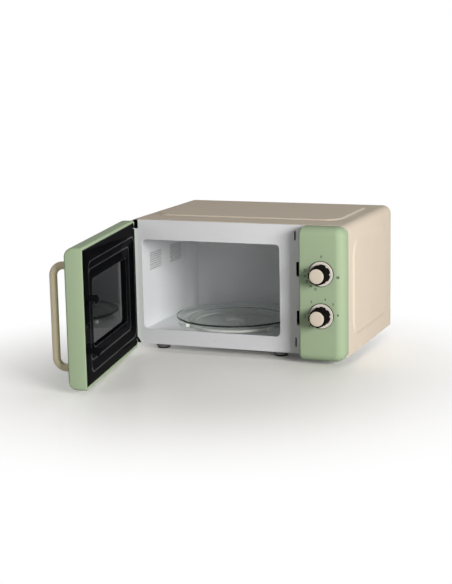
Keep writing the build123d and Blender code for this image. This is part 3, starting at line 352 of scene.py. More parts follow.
# %% Sizes of the wrapper
case_low, case_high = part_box("outer_wrapper")
plate_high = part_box("front_plate")[1]
sheet = 0.8 * mm
sheet_gap = 0.3 * mm
bend = 16 * mm
bend_steps = 10
press_rise = case_high.z - (plate_high.z + sheet + sheet_gap)
side_x = case_high.x - press_rise
top_z = case_high.z - press_rise
press_slope = 5 * mm
press_corner = 30 * mm
top_press = {"left": 27 * mm, "right": 35 * mm, "front": 56 * mm, "rear": 36 * mm}
side_press = {"front": 28 * mm, "rear": 34 * mm, "bottom": 32 * mm, "top": 30 * mm}
top_across = top_press["left"] - side_x, side_x - top_press["right"]
top_along = case_low.y + top_press["front"], case_high.y - top_press["rear"]
side_along = case_low.y + side_press["front"], case_high.y - side_press["rear"]
side_up = case_low.z + side_press["bottom"], top_z - side_press["top"]
fine_step, wide_step = 1.5 * mm, 12 * mm
flange = 14 * mm
fold = 1.0 * mm
flat_enough = 0.99
print(f"the pressed panels stand {press_rise / mm:.1f} mm proud")


# %% Stations along the arch
def stops(low, high, low_slope, high_slope):
    """Places between two ends: close together over the slopes and their corners, wide apart elsewhere."""
    zones = ((low_slope, low_slope + press_corner), (high_slope - press_corner, high_slope))
    marks = sorted({low, high, *zones[0], *zones[1]})
    places = []
    for first, last in zip(marks, marks[1:]):
        fine = any(start <= first < end for start, end in zones)
        count = math.ceil((last - first) / (fine_step if fine else wide_step))
        places += [first + (last - first) * k / count for k in range(count)]
    return places + [high]


def arch_stations():
    """Points up the left side, over the top and down the right, each with its outward direction."""
    spring, reach = top_z - bend, side_x - bend
    heights = stops(case_low.z, spring, *side_up)
    across = stops(-reach, reach, *top_across)
    left, right = [], []
    for k in range(1, bend_steps):
        angle = math.pi / 2 * k / bend_steps
        out = Vector((math.cos(angle), math.sin(angle)))
        right.append((Vector((reach, spring)) + bend * out, out))
        left.append((Vector((-reach - bend * out.x, spring + bend * out.y)), Vector((-out.x, out.y))))
    up = [(Vector((-side_x, z)), Vector((-1, 0))) for z in heights]
    over = [(Vector((x, top_z)), Vector((0, 1))) for x in across]
    down = [(Vector((side_x, z)), Vector((1, 0))) for z in reversed(heights)]
    return up + left + over + right[::-1] + down


# %% What the press does
def inside_depth(u, v, low_u, high_u, low_v, high_v, corner):
    """How far a point lies inside a rounded rectangle, in the same units, negative outside."""
    reach_u = abs(u - (low_u + high_u) / 2) - (high_u - low_u) / 2 + corner
    reach_v = abs(v - (low_v + high_v) / 2) - (high_v - low_v) / 2 + corner
    outside = math.hypot(max(reach_u, 0.0), max(reach_v, 0.0))
    return corner - outside - min(max(reach_u, reach_v), 0.0)


def press_height(place, out, y):
    """How far the press has pushed the sheet out at a point of the arch."""
    if out.y > flat_enough:
        depth = inside_depth(place.x, y, *top_across, *top_along, press_corner)
    elif abs(out.x) > flat_enough:
        depth = inside_depth(y, place.y, *side_along, *side_up, press_corner)
    else:
        return 0.0
    share = min(max(depth / press_slope, 0.0), 1.0)
    return press_rise * share * share * (3 - 2 * share)


def wrapper_rows():
    """(depth, inset) of each row of the grid: along the case, round the rear fold, in along the flange."""
    rear = case_high.y - fold
    more = [top_along[0] + fine_step * k for k in range(round(press_corner / fine_step))]
    rows = [(y, 0.0) for y in sorted({*stops(case_low.y, rear, *side_along), *more})]
    for angle in (math.pi / 6, math.pi / 3, math.pi / 2):
        rows.append((rear + fold * math.sin(angle), fold - fold * math.cos(angle)))
    return rows + [(case_high.y, inset) for inset in (flange / 2, flange)]


# %% The pressed steel wrapper
stations, rows = arch_stations(), wrapper_rows()
points = []
for y, inset in rows:
    for place, out in stations:
        lift = press_height(place, out, y) - inset
        points.append((place.x + out.x * lift, y, place.y + out.y * lift))
across = len(stations)
cells = [(row * across + k, row * across + k + 1, (row + 1) * across + k + 1, (row + 1) * across + k)
         for row in range(len(rows) - 1) for k in range(across - 1)]
wrapper = new_object("case_wrapper", points, cells)
wall = wrapper.modifiers.new("sheet", "SOLIDIFY")
wall.thickness = sheet
wall.offset = -1.0
# the inner face takes the dark primer: painted shade where the cavity's vents look through
wall.material_offset = 1
wrapper.data.materials.append(powder_coat)
wrapper.data.materials.append(backing_painted_shade)
tidy(bake(wrapper))
hand_in(wrapper, "cabinet", powder_coat, "case_enamel", "outer_wrapper", crease=40)

# %% [markdown]
# ## Mouldings with rounded edges
# The control panel and the door's frame are hollow mouldings from one family: big soft edges on three sides,
# a small one on the side where they meet each other. At each depth behind the face the outline is a rounded
# rectangle, drawn in by the quarter circle of its edge, so a stack of rings makes the whole form. `skin` is
# drawn through the rings as a hull is through its frames.

# %% Rings and skins
def skin(name, rings, joined=False, capped=False, marked=()):
    """A skin through rings of equally many points, joined or capped; marked strips get the second finish."""
    count = len(rings[0])
    vertices = [point for ring in rings for point in ring]
    pairs = list(zip(range(len(rings)), range(1, len(rings))))
    if joined:
        pairs.append((len(rings) - 1, 0))
    faces = []
    for first, second in ((a * count, b * count) for a, b in pairs):
        for k in range(count):
            after = (k + 1) % count
            faces.append((first + k, first + after, second + after, second + k))
    if capped:
        faces += [tuple(range(count)), tuple(range(len(vertices) - count, len(vertices)))]
    made = new_object(name, vertices, faces)
    for strip in marked:
        for face in made.data.polygons[strip * count:(strip + 1) * count]:
            face.material_index = 1
    return tidy(made)


def rounded_ring(low, high, radii, y, steps=8):
    """A rounded rectangle in X and Z at one depth; the radii run anticlockwise from the lower left."""
    corners = ((low[0], low[1], 1, 1, 180), (high[0], low[1], -1, 1, 270),
               (high[0], high[1], -1, -1, 0), (low[0], high[1], 1, -1, 90))
    points = []
    for (x, z, side, rise, start), radius in zip(corners, radii):
        for step in range(steps + 1):
            angle = math.radians(start + 90 * step / steps)
            points.append(Vector((x + side * radius + radius * math.cos(angle), y,
                                  z + rise * radius + radius * math.sin(angle))))
    return points


def quarter(radius, steps):
    """(depth, inset) points of a rounded edge, from the face round to the side."""
    angles = [math.pi / 2 * step / steps for step in range(steps + 1)]
    return [(radius * (1 - math.cos(a)), radius * (1 - math.sin(a))) for a in angles]


# %% Rings of a moulding
soft_edge, meeting_edge, least_edge = 16 * mm, 3.5 * mm, 0.5 * mm
soft_corner, meeting_corner, least_corner = 18 * mm, 5 * mm, 0.6 * mm
moulding_wall = 2.5 * mm
back_rim = 0.6 * mm
lip_depth = 6 * mm
edge_depths = sorted({depth for radius in (meeting_edge, soft_edge) for depth, _ in quarter(radius, steps=7)})


def edge_inset(depth, radius):
    """How far a rounded edge has drawn the outline in at a depth behind the face."""
    if depth >= radius:
        return 0.0
    return radius - math.sqrt(max(radius ** 2 - (radius - depth) ** 2, 0.0))


def moulding_ring(low, high, depth, meets_left, wall=0.0, drawn_in=0.0):
    """The outline of a moulding, or of its hollow when a wall is given, at a depth behind the face."""
    soft = edge_inset(depth, soft_edge - wall) + wall + drawn_in
    meeting = edge_inset(depth, max(meeting_edge - wall, least_edge)) + wall + drawn_in
    left, right = (meeting, soft) if meets_left else (soft, meeting)
    outer = max(soft_corner - soft, least_corner)
    inner = max(meeting_corner - meeting, least_corner)
    radii = (inner, outer, outer, inner) if meets_left else (outer, inner, inner, outer)
    return rounded_ring((low.x + left, low.z + soft), (high.x - right, high.z - soft), radii,
                        low.y + wall + depth)


def moulding_outside(low, high, meets_left):
    """Rings from the back edge, up the side and round onto the face."""
    back = high.y - low.y
    rings = [moulding_ring(low, high, back - depth, meets_left, drawn_in=inset)
             for depth, inset in quarter(back_rim, steps=3)]
    return rings + [moulding_ring(low, high, depth, meets_left) for depth in reversed(edge_depths)]


def moulding_inside(low, high, meets_left, lip=0.0):
    """Rings of the hollow, from behind the face back to the rear edge, which may have a thicker lip."""
    back = high.y - low.y - moulding_wall
    places = [(depth, 0.0) for depth in edge_depths if depth <= soft_edge - moulding_wall]
    places += [(back - lip_depth, 0.0), (back - lip_depth + lip, lip), (back, lip)]
    return [moulding_ring(low, high, depth, meets_left, moulding_wall, inset) for depth, inset in places]


print(len(edge_depths), "rings round a soft edge")


# %% Lathe work and cutting
def turned(name, profile, centre, along, steps=96, joined=False):
    """A piece turned on a lathe: (radius, height) points about an axis."""
    turn = Vector((0, 0, 1)).rotation_difference(Vector(along)).to_matrix()
    angles = [2 * math.pi * k / steps for k in range(steps)]
    rings = []
    for radius, height in profile:
        rings.append([Vector(centre) + turn @ Vector((radius * math.cos(a), radius * math.sin(a), height))
                      for a in angles])
    return skin(name, rings, joined=joined)


def carve(piece, cutters):
    """Cut solids out of a piece and throw the cutters away."""
    for cutter in cutters:
        cut = piece.modifiers.new("cut", "BOOLEAN")
        cut.operation = "DIFFERENCE"
        cut.solver = "EXACT"
        cut.object = cutter
    bake(piece)
    for cutter in cutters:
        bpy.data.objects.remove(cutter)
    return piece


# %% The control panel
panel_low, panel_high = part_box("control_panel")
knob_places = [sum(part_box(f"{name}_dial"), Vector()) / 2 for name in ("timer", "power")]
shaft_hole = 4 * mm
drill_start, drill_end = -5 * mm, 8 * mm
drill = [(0, drill_start), (shaft_hole, drill_start), (shaft_hole, drill_end), (0, drill_end)]
rings = moulding_inside(panel_low, panel_high, True) + moulding_outside(panel_low, panel_high, True)
panel = skin("panel_moulding", rings, capped=True)
carve(panel, [turned("hole", drill, (place.x, panel_low.y, place.z), (0, 1, 0), steps=32)
              for place in knob_places])
hand_in(panel, "cabinet", mint_abs, "mint_plastic", "control_panel")

# %% [markdown]
# ## The door's frame
# The frame is the same kind of moulding with a window cut through its face. The door is stored open, but its
# pieces are easier to draw shut and then swing about the hinge, so `closed_box` measures a solid of the door
# as if it were shut. The rings go up the outside, over the face, round the edge of the window, and back down
# inside. Slots let the two hinge tabs in, and the heel behind the hinge is rounded off so that the door can
# swing without touching the front plate.

# %% The door, measured shut
joints = {joint["name"]: joint for joint in frame["joints"]}
swing = joints["door_swing"]
hinge = Vector(swing["pos_m"])
open_angle = math.radians(swing["range_deg"][1])
to_open = Matrix.Translation(hinge) @ Matrix.Rotation(-open_angle, 4, "Z") @ Matrix.Translation(-hinge)
to_closed = to_open.inverted()


def corners_of(points):
    """Lowest and highest corner of some points."""
    return Vector([min(axis) for axis in zip(*points)]), Vector([max(axis) for axis in zip(*points)])


def closed_box(name):
    """Corners of a door node with the door shut."""
    return corners_of([to_closed @ vertex.co for vertex in frame["nodes"][name].data.vertices])


door_low, door_high = closed_box("door_frame")
print("door, shut:", [round(side / mm, 1) for side in (*door_low, *door_high)])

# %% Room for the hinges
swing_gap = 1.5 * mm
tab_reach = 9 * mm
tab_thickness = 2.5 * mm
heel_radius = 8.2 * mm
heel_steps = 8


def box_piece(name, low, high):
    """A plain block, to cut with or to build from."""
    points = [Vector((x, y, z)) for z in (low[2], high[2]) for x, y in
              ((low[0], low[1]), (high[0], low[1]), (high[0], high[1]), (low[0], high[1]))]
    return skin(name, [points[:4], points[4:]], capped=True)


def hinge_room():
    """Solids to cut from the door: a slot for each hinge tab, and the heel."""
    back = door_high.y + swing_gap
    left = door_low.x - swing_gap
    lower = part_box("lower_hinge")[0].z
    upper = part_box("upper_hinge")[1].z - tab_thickness
    cutters = [box_piece("slot", (left, hinge.y - tab_reach - swing_gap, z - swing_gap),
                         (hinge.x + tab_reach, back, z + tab_thickness + swing_gap))
               for z in (lower, upper)]
    arc = [math.radians(90 + 90 * k / heel_steps) for k in range(heel_steps + 1)]
    outline = [(hinge.x + heel_radius * math.cos(a), hinge.y + heel_radius * math.sin(a)) for a in arc]
    outline += [(left, hinge.y), (left, back), (hinge.x, back)]
    ends = [[Vector((x, y, z)) for x, y in outline]
            for z in (door_low.z - swing_gap, door_high.z + swing_gap)]
    return cutters + [skin("heel", ends, capped=True)]


# %% The door's frame
def plan_of(low, high, inset=0.0):
    """Two corners in X and Z of a box seen from the front, drawn in by a margin."""
    return (low.x + inset, low.z + inset), (high.x - inset, high.z - inset)


def grown_ring(plan, corner, grow, y, share=1.0):
    """A rounded rectangle grown outwards by a margin, its corner radius growing by a share of the margin."""
    (x0, z0), (x1, z1) = plan
    return rounded_ring((x0 - grow, z0 - grow), (x1 + grow, z1 + grow), [corner + share * grow] * 4, y)


glass_low, glass_high = closed_box("door_glass")
door_lip = 2.4 * mm
glass_lap = 8 * mm
opening_corner = 10 * mm
opening_edge = 1.5 * mm
opening = plan_of(glass_low, glass_high, glass_lap)
rings = moulding_outside(door_low, door_high, False)
rings += [grown_ring(opening, opening_corner, inset, door_low.y + depth)
          for depth, inset in quarter(opening_edge, steps=4)]
rings.append(grown_ring(opening, opening_corner, 0.0, door_low.y + moulding_wall))
rings += moulding_inside(door_low, door_high, False, door_lip)
door_shell = skin("door_moulding", rings, joined=True)
carve(door_shell, hinge_room())
door_shell.data.transform(to_open)
hand_in(door_shell, "door", mint_abs, "mint_plastic", "door_frame")

# %% [markdown]
# ## The black inner cover
# Inside the door a glossy black moulding covers the choke that keeps the microwaves in. It has a flat margin,
# a dish that slopes down round the oven's mouth, and a well for the inner window. Every edge has a small
# radius, because it is these radii that catch the light and draw the thin bright lines seen in the
# photograph.

# %% Sizes of the choke cover
cover_low, cover_high = closed_box("choke_cover")
window_low, window_high = closed_box("inner_window")
cover_wall = 2.5 * mm
cover_back = cover_high.y
cover_corner = soft_corner - moulding_wall
latch_side_corner = 1.2 * mm
dish_slope, dish_depth = 17 * mm, 6 * mm
well_margin, well_depth = 20 * mm, 8 * mm
window_gap = 0.3 * mm
window_lip = 5 * mm
well = plan_of(window_low, window_high, -window_gap)
well_corner = 10 * mm
corner_share = 0.1
cover_edge, step_edge, dish_edge = 0.8 * mm, 1.5 * mm, 1.3 * mm
latch_low, latch_high = closed_box("door_latch")
latch_x = (latch_low.x + latch_high.x) / 2
hook_inset = 10 * mm
hook_heights = (latch_low.z + hook_inset, latch_high.z - hook_inset)
hook_slot = {"half": 3.5 * mm, "deep": 4 * mm, "proud": 1 * mm, "below": 10.5 * mm, "above": 11.5 * mm}
print("well of the window:", [round(side / mm, 1) for corner in well for side in corner])


# %% Rings of the choke cover
def cover_outline(inset, depth):
    """The cover's outer edge: round on the hinge side, nearly square on the latch side."""
    inset += door_lip
    round_corner = cover_corner - inset
    radii = (round_corner, latch_side_corner, latch_side_corner, round_corner)
    return rounded_ring(*plan_of(cover_low, cover_high, inset), radii, cover_back - depth)


def cover_runs():
    """Runs of rings: four rounded edges, from the outer one in to the well, then the way back behind."""
    dish = well_margin + dish_slope
    slope = dish_depth / dish_slope
    deep = dish_depth + well_depth
    outer = [cover_outline(inset, depth) for depth, inset in reversed(quarter(cover_edge, steps=3))]
    brim = [(dish + dish_edge, 0.0), (dish, slope * dish_edge / 4), (dish - dish_edge, slope * dish_edge)]
    shoulder = [(well_margin + dish_edge, dish_depth - slope * dish_edge),
                (well_margin, dish_depth - slope * dish_edge / 4), (well_margin - dish_edge, dish_depth)]
    edge = [(inset, dish_depth + depth) for depth, inset in quarter(step_edge, steps=4)]
    behind = [(0.0, deep), (-window_lip, deep), (-window_lip, deep + cover_wall),
              (cover_wall, deep + cover_wall), (cover_wall, dish_depth + cover_wall),
              (well_margin, dish_depth + cover_wall), (dish + cover_wall, cover_wall)]
    runs = [[grown_ring(well, well_corner, grow, cover_back - depth, corner_share) for grow, depth in run]
            for run in (brim, shoulder, edge, behind)]
    runs[-1].append(cover_outline(0.0, cover_wall))
    return [outer] + runs


# %% The choke cover
runs = cover_runs()
edge_strips = []
start = 0
for run in runs[:-1]:
    edge_strips += range(start, start + len(run) - 1)
    start += len(run)
hook_room = [box_piece("slot", (latch_x - hook_slot["half"], cover_back - hook_slot["deep"],
                                height - hook_slot["below"]),
                       (latch_x + hook_slot["half"], cover_back + hook_slot["proud"],
                        height + hook_slot["above"]))
             for height in hook_heights]
cover = skin("black_cover", [ring for run in runs for ring in run], joined=True, marked=edge_strips)
cover.data.materials.append(black_abs)
cover.data.materials.append(edge_gloss)
carve(cover, hinge_room() + hook_room)
cover.data.transform(to_open)
hand_in(cover, "door", black_abs, "black_plastic", "choke_cover")

# %% [markdown]
# ## The latch
# Two hooks stand on one sliding bar behind the cover. Each is a flat profile with a sloping toe, on which the
# real one rides up over its ledge as the door shuts. A bevel takes the sharpness off, as the moulding tool
# would.

# %% The latch hooks
def add_shell(piece, other):
    """Put another mesh into a piece as one more shell."""
    work = bmesh.new()
    work.from_mesh(piece.data)
    work.from_mesh(other.data)
    work.to_mesh(piece.data)
    work.free()
    bpy.data.objects.remove(other)


hook_half = 2 * mm
hook_arm = 5 * mm
hook_nose = 4 * mm
hook_bevel = 0.7 * mm
bar_back = cover_back - cover_wall - window_gap
latch = box_piece("latch_hooks", latch_low, (latch_high.x, bar_back, latch_high.z))
tip = latch_high.y
neck = tip - 2 * hook_nose
for height in hook_heights:
    bottom, top = height - hook_arm, height + hook_arm
    profile = [(bar_back, bottom), (neck, bottom), (neck, bottom - hook_nose),
               (tip - hook_nose, bottom - hook_nose), (tip, bottom + hook_nose), (tip - hook_nose, top),
               (bar_back, top)]
    sides = [[Vector((x, y, z)) for y, z in profile] for x in (latch_x - hook_half, latch_x + hook_half)]
    add_shell(latch, skin("hook", sides, capped=True))
bevel = latch.modifiers.new("bevel", "BEVEL")
bevel.width = hook_bevel
bevel.segments = 3
bake(latch)
latch.data.transform(to_open)
hand_in(latch, "latch", black_abs, "black_plastic", "door_latch")

# %% [markdown]
# ## The latch spring
# A coil of steel wire stands on the latch bar and pushes it down. The wire is swept up a helix that fills the
# sleeve standing for it in the CAD.

# %% The latch spring
wire = 0.4 * mm
wire_sides = 8
spring_turns = 9
turn_steps = 24
spring_low, spring_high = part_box("latch_spring")
spring_middle = (spring_low + spring_high) / 2
coil_radius = (spring_high.x - spring_low.x) / 2 - wire
spring_length = spring_high.z - spring_low.z
upwards = Vector((0, 0, 1))
around = [2 * math.pi * side / wire_sides for side in range(wire_sides)]
coil = []
for k in range(spring_turns * turn_steps + 1):
    angle = 2 * math.pi * k / turn_steps
    out = Vector((math.cos(angle), math.sin(angle), 0))
    climb = wire + (spring_length - 2 * wire) * k / (spring_turns * turn_steps)
    heart = Vector((spring_middle.x, spring_middle.y, spring_low.z + climb)) + coil_radius * out
    coil.append([heart + wire * (math.cos(a) * out + math.sin(a) * upwards) for a in around])
spring = skin("latch_spring_coil", coil, capped=True)
hand_in(spring, "door", hinge_steel, "hinge_steel", "latch_spring")
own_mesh(spring)

# %% [markdown]
# ## Trees that repeat a shape
# Geometry Nodes place what repeats. `new_tree` opens a tree with named inputs and `run_tree` runs it on a
# piece and bakes the result into a plain mesh. The first tree stamps one shape on every point of a mesh,
# turned to the point's own facing: it sets the screws and the feet.

# %% Tree tools
def new_tree(name, **sockets):
    """A Geometry Nodes tree with named inputs; gives the tree and the outputs of its input node."""
    tree = bpy.data.node_groups.new(name, "GeometryNodeTree")
    tree.interface.new_socket("Geometry", in_out="INPUT", socket_type="NodeSocketGeometry")
    for label, kind in sockets.items():
        tree.interface.new_socket(label, in_out="INPUT", socket_type=f"NodeSocket{kind}")
    tree.interface.new_socket("Geometry", in_out="OUTPUT", socket_type="NodeSocketGeometry")
    return tree, node(tree, "NodeGroupInput").outputs


def end_tree(tree, given, geometry):
    """Close a tree: real geometry, one material."""
    real = node(tree, "GeometryNodeRealizeInstances", {"Geometry": geometry})
    dressed = node(tree, "GeometryNodeSetMaterial", {"Geometry": real, "Material": given["Finish"]})
    node(tree, "NodeGroupOutput", {"Geometry": dressed})
    print(tree.name, "tree:", len(tree.nodes), "nodes")


def run_tree(piece, tree, **values):
    """Run a tree on a piece with its inputs set by identifier, and bake it."""
    work = piece.modifiers.new(tree.name, "NODES")
    work.node_group = tree
    for item in tree.interface.items_tree:
        if item.in_out == "INPUT" and item.name in values:
            work[item.identifier] = values[item.name]
    bake(piece)


# %% The stamp tree
stamp_tree, given = new_tree("stamp_on_points", Stamp="Object", Finish="Material")
shape = node(stamp_tree, "GeometryNodeObjectInfo", {"Object": given["Stamp"], "As Instance": True})
facing = node(stamp_tree, "GeometryNodeInputNamedAttribute", {"Name": "facing"}, data_type="FLOAT_VECTOR")
turn = node(stamp_tree, "FunctionNodeAlignRotationToVector", {"Vector": facing.outputs["Attribute"]},
            axis="Z")
stamped = node(stamp_tree, "GeometryNodeInstanceOnPoints", {
    "Points": given["Geometry"], "Instance": shape.outputs["Geometry"], "Rotation": turn})
end_tree(stamp_tree, given, stamped)


def groups_of(name, reach):
    """Corners of each separate solid of a node, for solids that stand further apart than the reach."""
    groups = []
    for vertex in frame["nodes"][name].data.vertices:
        near = [g for g in groups if (g[0] - vertex.co).length < reach]
        if near:
            near[0].append(vertex.co.copy())
        else:
            groups.append([vertex.co.copy()])
    return [corners_of(group) for group in groups]


def stamped_piece(name, places, shape, finish):
    """A piece made of one shape stamped at (place, facing) pairs."""
    piece = new_object(name, [place for place, _ in places], [])
    facings = piece.data.attributes.new("facing", "FLOAT_VECTOR", "POINT")
    for row, (_, direction) in zip(facings.data, places):
        row.vector = direction
    run_tree(piece, stamp_tree, Stamp=shape, Finish=finish)
    bpy.data.objects.remove(shape)
    return piece


# %% Screws with a cross recess
head_radius, head_height = 3.2 * mm, 0.8 * mm
shank_radius, shank_length = 1.5 * mm, 5 * mm
head_rim = 0.35
recess_half = 0.45 * mm
recess_reach = 0.62
screw_spread = 8 * mm


def screw_shape():
    """A pan-head screw with its seat at zero and its head up."""
    dome = [(head_radius * math.cos(a), head_height * (head_rim + (1 - head_rim) * math.sin(a)))
            for a in (math.radians(15 * k) for k in range(6))]
    profile = [(0, -shank_length), (shank_radius, -shank_length), (shank_radius, 0), (head_radius, 0),
               *dome, (0, head_height)]
    made = turned("screw", profile, (0, 0, 0), (0, 0, 1), steps=32)
    arm = head_radius * recess_reach
    deep = head_height * head_rim
    return carve(made, [box_piece("cross", (-a, -b, deep), (a, b, 2 * head_height))
                        for a, b in ((arm, recess_half), (recess_half, arm))])


screw_places = []
for low, high in groups_of("case_screws", screw_spread):
    middle = (low + high) / 2
    out = Vector((0, -1, 0)) if middle.y < 0 else Vector((0, 1, 0))
    seat = low.y + head_height if middle.y < 0 else high.y - head_height
    screw_places.append((Vector((middle.x, seat, middle.z)), out))
screws = stamped_piece("cross_head_screws", screw_places, screw_shape(), hinge_steel)
print(len(screw_places), "screws")
hand_in(screws, "cabinet", hinge_steel, "hinge_steel", "case_screws", crease=25)

# %% Rubber feet
base_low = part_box("base_plate")[0]
foot_spread = 45 * mm
# (radius, height) in mm, for a foot of the drawn height
drawn_height = 14
foot_profile = [(0, 0), (16.6, 0), (17.6, 0.3), (18.0, 1.2), (17.8, 2.4), (14.2, 9.6), (13.4, 10.4),
                (0, 10.4)]
pad_profile = [(0, 10.0), (12.6, 10.0), (12.4, 12.8), (11.9, 13.6), (11.0, 14.0), (8.6, 14.0), (8.2, 13.0),
               (0, 13.0)]
scale = base_low.z / (drawn_height * mm)
foot_places = []
for low, high in groups_of("feet", foot_spread):
    middle = (low + high) / 2
    foot_places.append((Vector((middle.x, middle.y, high.z)), Vector((0, 0, -1))))
# the black pad under each grey foot is its rubber sole, and its black is also painted shade where the foot meets
# the table
for name, profile, finish, nodes in (("rubber_feet", foot_profile, foot_grey, ["feet"]),
                                     ("foot_pads", pad_profile, rubber, [])):
    shape = turned("foot", [(r * mm, h * mm * scale) for r, h in profile], (0, 0, 0), (0, 0, 1), steps=48)
    feet = stamped_piece(name, foot_places, shape, finish)
    hand_in(feet, "cabinet", finish, "foot_rubber", *nodes)
print(len(foot_places), "feet")

# %% [markdown]
# ## The knobs
# Each knob is a cream dial with a dark rim, a black grip with flutes, and a cream cap let into the grip. Dial
# and cap are turned on the lathe. The grip follows a rule, a turned blank with evenly spaced hollows, so a
# tree cuts them: it moves each point of the wall inwards by the cosine of its angle times the number of
# flutes.

# %% The flute tree
hollow_start = 0.3
flute_tree, given = new_tree("flutes", Flutes="Float", Depth="Float", Inner="Float", Outer="Float",
                             Finish="Material")
spot = node(flute_tree, "GeometryNodeInputPosition")
split = node(flute_tree, "ShaderNodeSeparateXYZ", {0: spot})
flat = node(flute_tree, "ShaderNodeVectorMath", {0: spot, 1: (1.0, 1.0, 0.0)}, operation="MULTIPLY")
radius = node(flute_tree, "ShaderNodeVectorMath", {0: flat}, operation="LENGTH")
inward = node(flute_tree, "ShaderNodeVectorMath", {0: flat}, operation="NORMALIZE")
angle = node(flute_tree, "ShaderNodeMath", {0: split.outputs["Y"], 1: split.outputs["X"]},
             operation="ARCTAN2")
many = node(flute_tree, "ShaderNodeMath", {0: angle, 1: given["Flutes"]}, operation="MULTIPLY")
wave = node(flute_tree, "ShaderNodeMath", {0: many}, operation="COSINE")
hollow = node(flute_tree, "ShaderNodeMapRange", {"Value": wave, "From Min": hollow_start, "From Max": 1.0},
              interpolation_type="SMOOTHSTEP")
wall = node(flute_tree, "ShaderNodeMapRange", {
    "Value": radius.outputs["Value"], "From Min": given["Inner"], "From Max": given["Outer"]})
amount = node(flute_tree, "ShaderNodeMath", {0: hollow, 1: wall}, operation="MULTIPLY")
depth = node(flute_tree, "ShaderNodeMath", {0: amount, 1: given["Depth"]}, operation="MULTIPLY")
back = node(flute_tree, "ShaderNodeMath", {0: depth, 1: -1.0}, operation="MULTIPLY")
offset = node(flute_tree, "ShaderNodeVectorMath", {0: inward, "Scale": back}, operation="SCALE")
moved = node(flute_tree, "GeometryNodeSetPosition", {"Geometry": given["Geometry"], "Offset": offset})
end_tree(flute_tree, given, moved)

# %% Dials
bore = 3 * mm
outwards = (0, -1, 0)
dial_steps = 128
rim_width, rim_drop = 0.9 * mm, 0.5 * mm
face_bevel = 0.6 * mm
rim_foot = 0.3 * mm
rim_bevel = 0.4 * mm


def dial_pieces(name, body):
    """A knob's cream dial, and the dark rim round it that stands a little lower."""
    low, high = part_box(f"{name}_dial")
    middle = (low + high) / 2
    base = (middle.x, high.y, middle.z)
    radius = high.x - middle.x
    thick = high.y - low.y
    inside, step = radius - rim_width, thick - rim_drop
    face = [(bore, 0), (inside, 0), (inside, step), (inside - face_bevel, thick), (bore, thick)]
    dial = turned(f"{name}_dial_face", face, base, outwards, dial_steps, joined=True)
    hand_in(dial, body, ivory_abs, "cream_plastic", f"{name}_dial")
    edge = [(inside, 0), (radius - rim_foot, 0), (radius, rim_bevel), (radius, thick - 2 * rim_drop),
            (radius - rim_bevel, step), (inside, step)]
    ring = turned(f"{name}_dial_rim", edge, base, outwards, dial_steps, joined=True)
    hand_in(ring, body, grip_black, "knob_black")


# %% Grips
flutes = 7
flute_depth = 2.0 * mm
flute_inner, flute_outer = 0.4 * mm, 2.2 * mm
grip_root, grip_front = 18.2 * mm, 16.6 * mm
grip_levels = (0.1, 0.3, 0.5, 0.7, 0.9)
# (depth, inset) in mm
grip_edge = ((1.4, 0), (0.7, 0.2), (0.2, 0.7), (0, 1.4))
cap_gap = 0.1 * mm


def grip_piece(name, body):
    """A knob's fluted grip, hollowed at its front for the cap."""
    low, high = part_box(f"{name}_grip")
    dial_low, dial_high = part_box(f"{name}_dial")
    _, cap_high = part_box(f"{name}_cap")
    middle = (dial_low + dial_high) / 2
    cap_radius = cap_high.x - middle.x
    length = high.y - low.y
    sunk = length - (cap_high.y - low.y)
    blank = [(bore, 0), (grip_root, 0)]
    blank += [(grip_root + (grip_front - grip_root) * t, length * t) for t in grip_levels]
    blank += [(grip_front - inset * mm, length - depth * mm) for depth, inset in grip_edge]
    blank += [(cap_radius + cap_gap, length), (cap_radius + cap_gap, sunk), (bore, sunk)]
    grip = turned(f"{name}_fluted_grip", blank, (0, 0, 0), (0, 0, 1), steps=24 * flutes, joined=True)
    run_tree(grip, flute_tree, Flutes=float(flutes), Depth=flute_depth, Inner=cap_radius + flute_inner,
             Outer=cap_radius + flute_outer, Finish=grip_black)
    seat = Matrix.Translation((middle.x, high.y, middle.z))
    grip.data.transform(seat @ Matrix.Rotation(math.pi / 2, 4, "X"))
    hand_in(grip, body, grip_black, "knob_black", f"{name}_grip", crease=40)


# %% Caps, and both knobs
# (inset, depth) in mm
cap_edge = ((0, 0.9), (0.25, 0.4), (0.9, 0.12))
crown_share, crown_drop = 0.6, 0.03 * mm


def cap_piece(name, body):
    """A knob's cream cap, with a rounded edge and a faint crown."""
    dial_low, dial_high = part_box(f"{name}_dial")
    low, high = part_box(f"{name}_cap")
    middle = (dial_low + dial_high) / 2
    radius = high.x - middle.x
    thick = high.y - low.y
    dome = [(0, 0), (radius, 0)]
    dome += [(radius - inset * mm, thick - drop * mm) for inset, drop in cap_edge]
    dome += [(radius * crown_share, thick - crown_drop), (0, thick)]
    cap = turned(f"{name}_knob_cap", dome, (middle.x, high.y, middle.z), outwards)
    hand_in(cap, body, cream_abs, "cream_plastic", f"{name}_cap")


for name in ("timer", "power"):
    for make in (dial_pieces, grip_piece, cap_piece):
        make(name, f"{name}_knob")

# %% [markdown]
# ## The glass tray
# A pressed-glass tray is a solid of revolution with a thick rounded rim. A shallow ring raised on its upper
# face shows as a circle in the glass. Three lugs under the middle take the coupler.

# %% The glass tray
tray_low, tray_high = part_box("glass_tray")
tray_middle = (tray_low + tray_high) / 2
tray_radius = tray_high.x - tray_middle.x
rim_z = tray_high.z
underside = 12 * mm
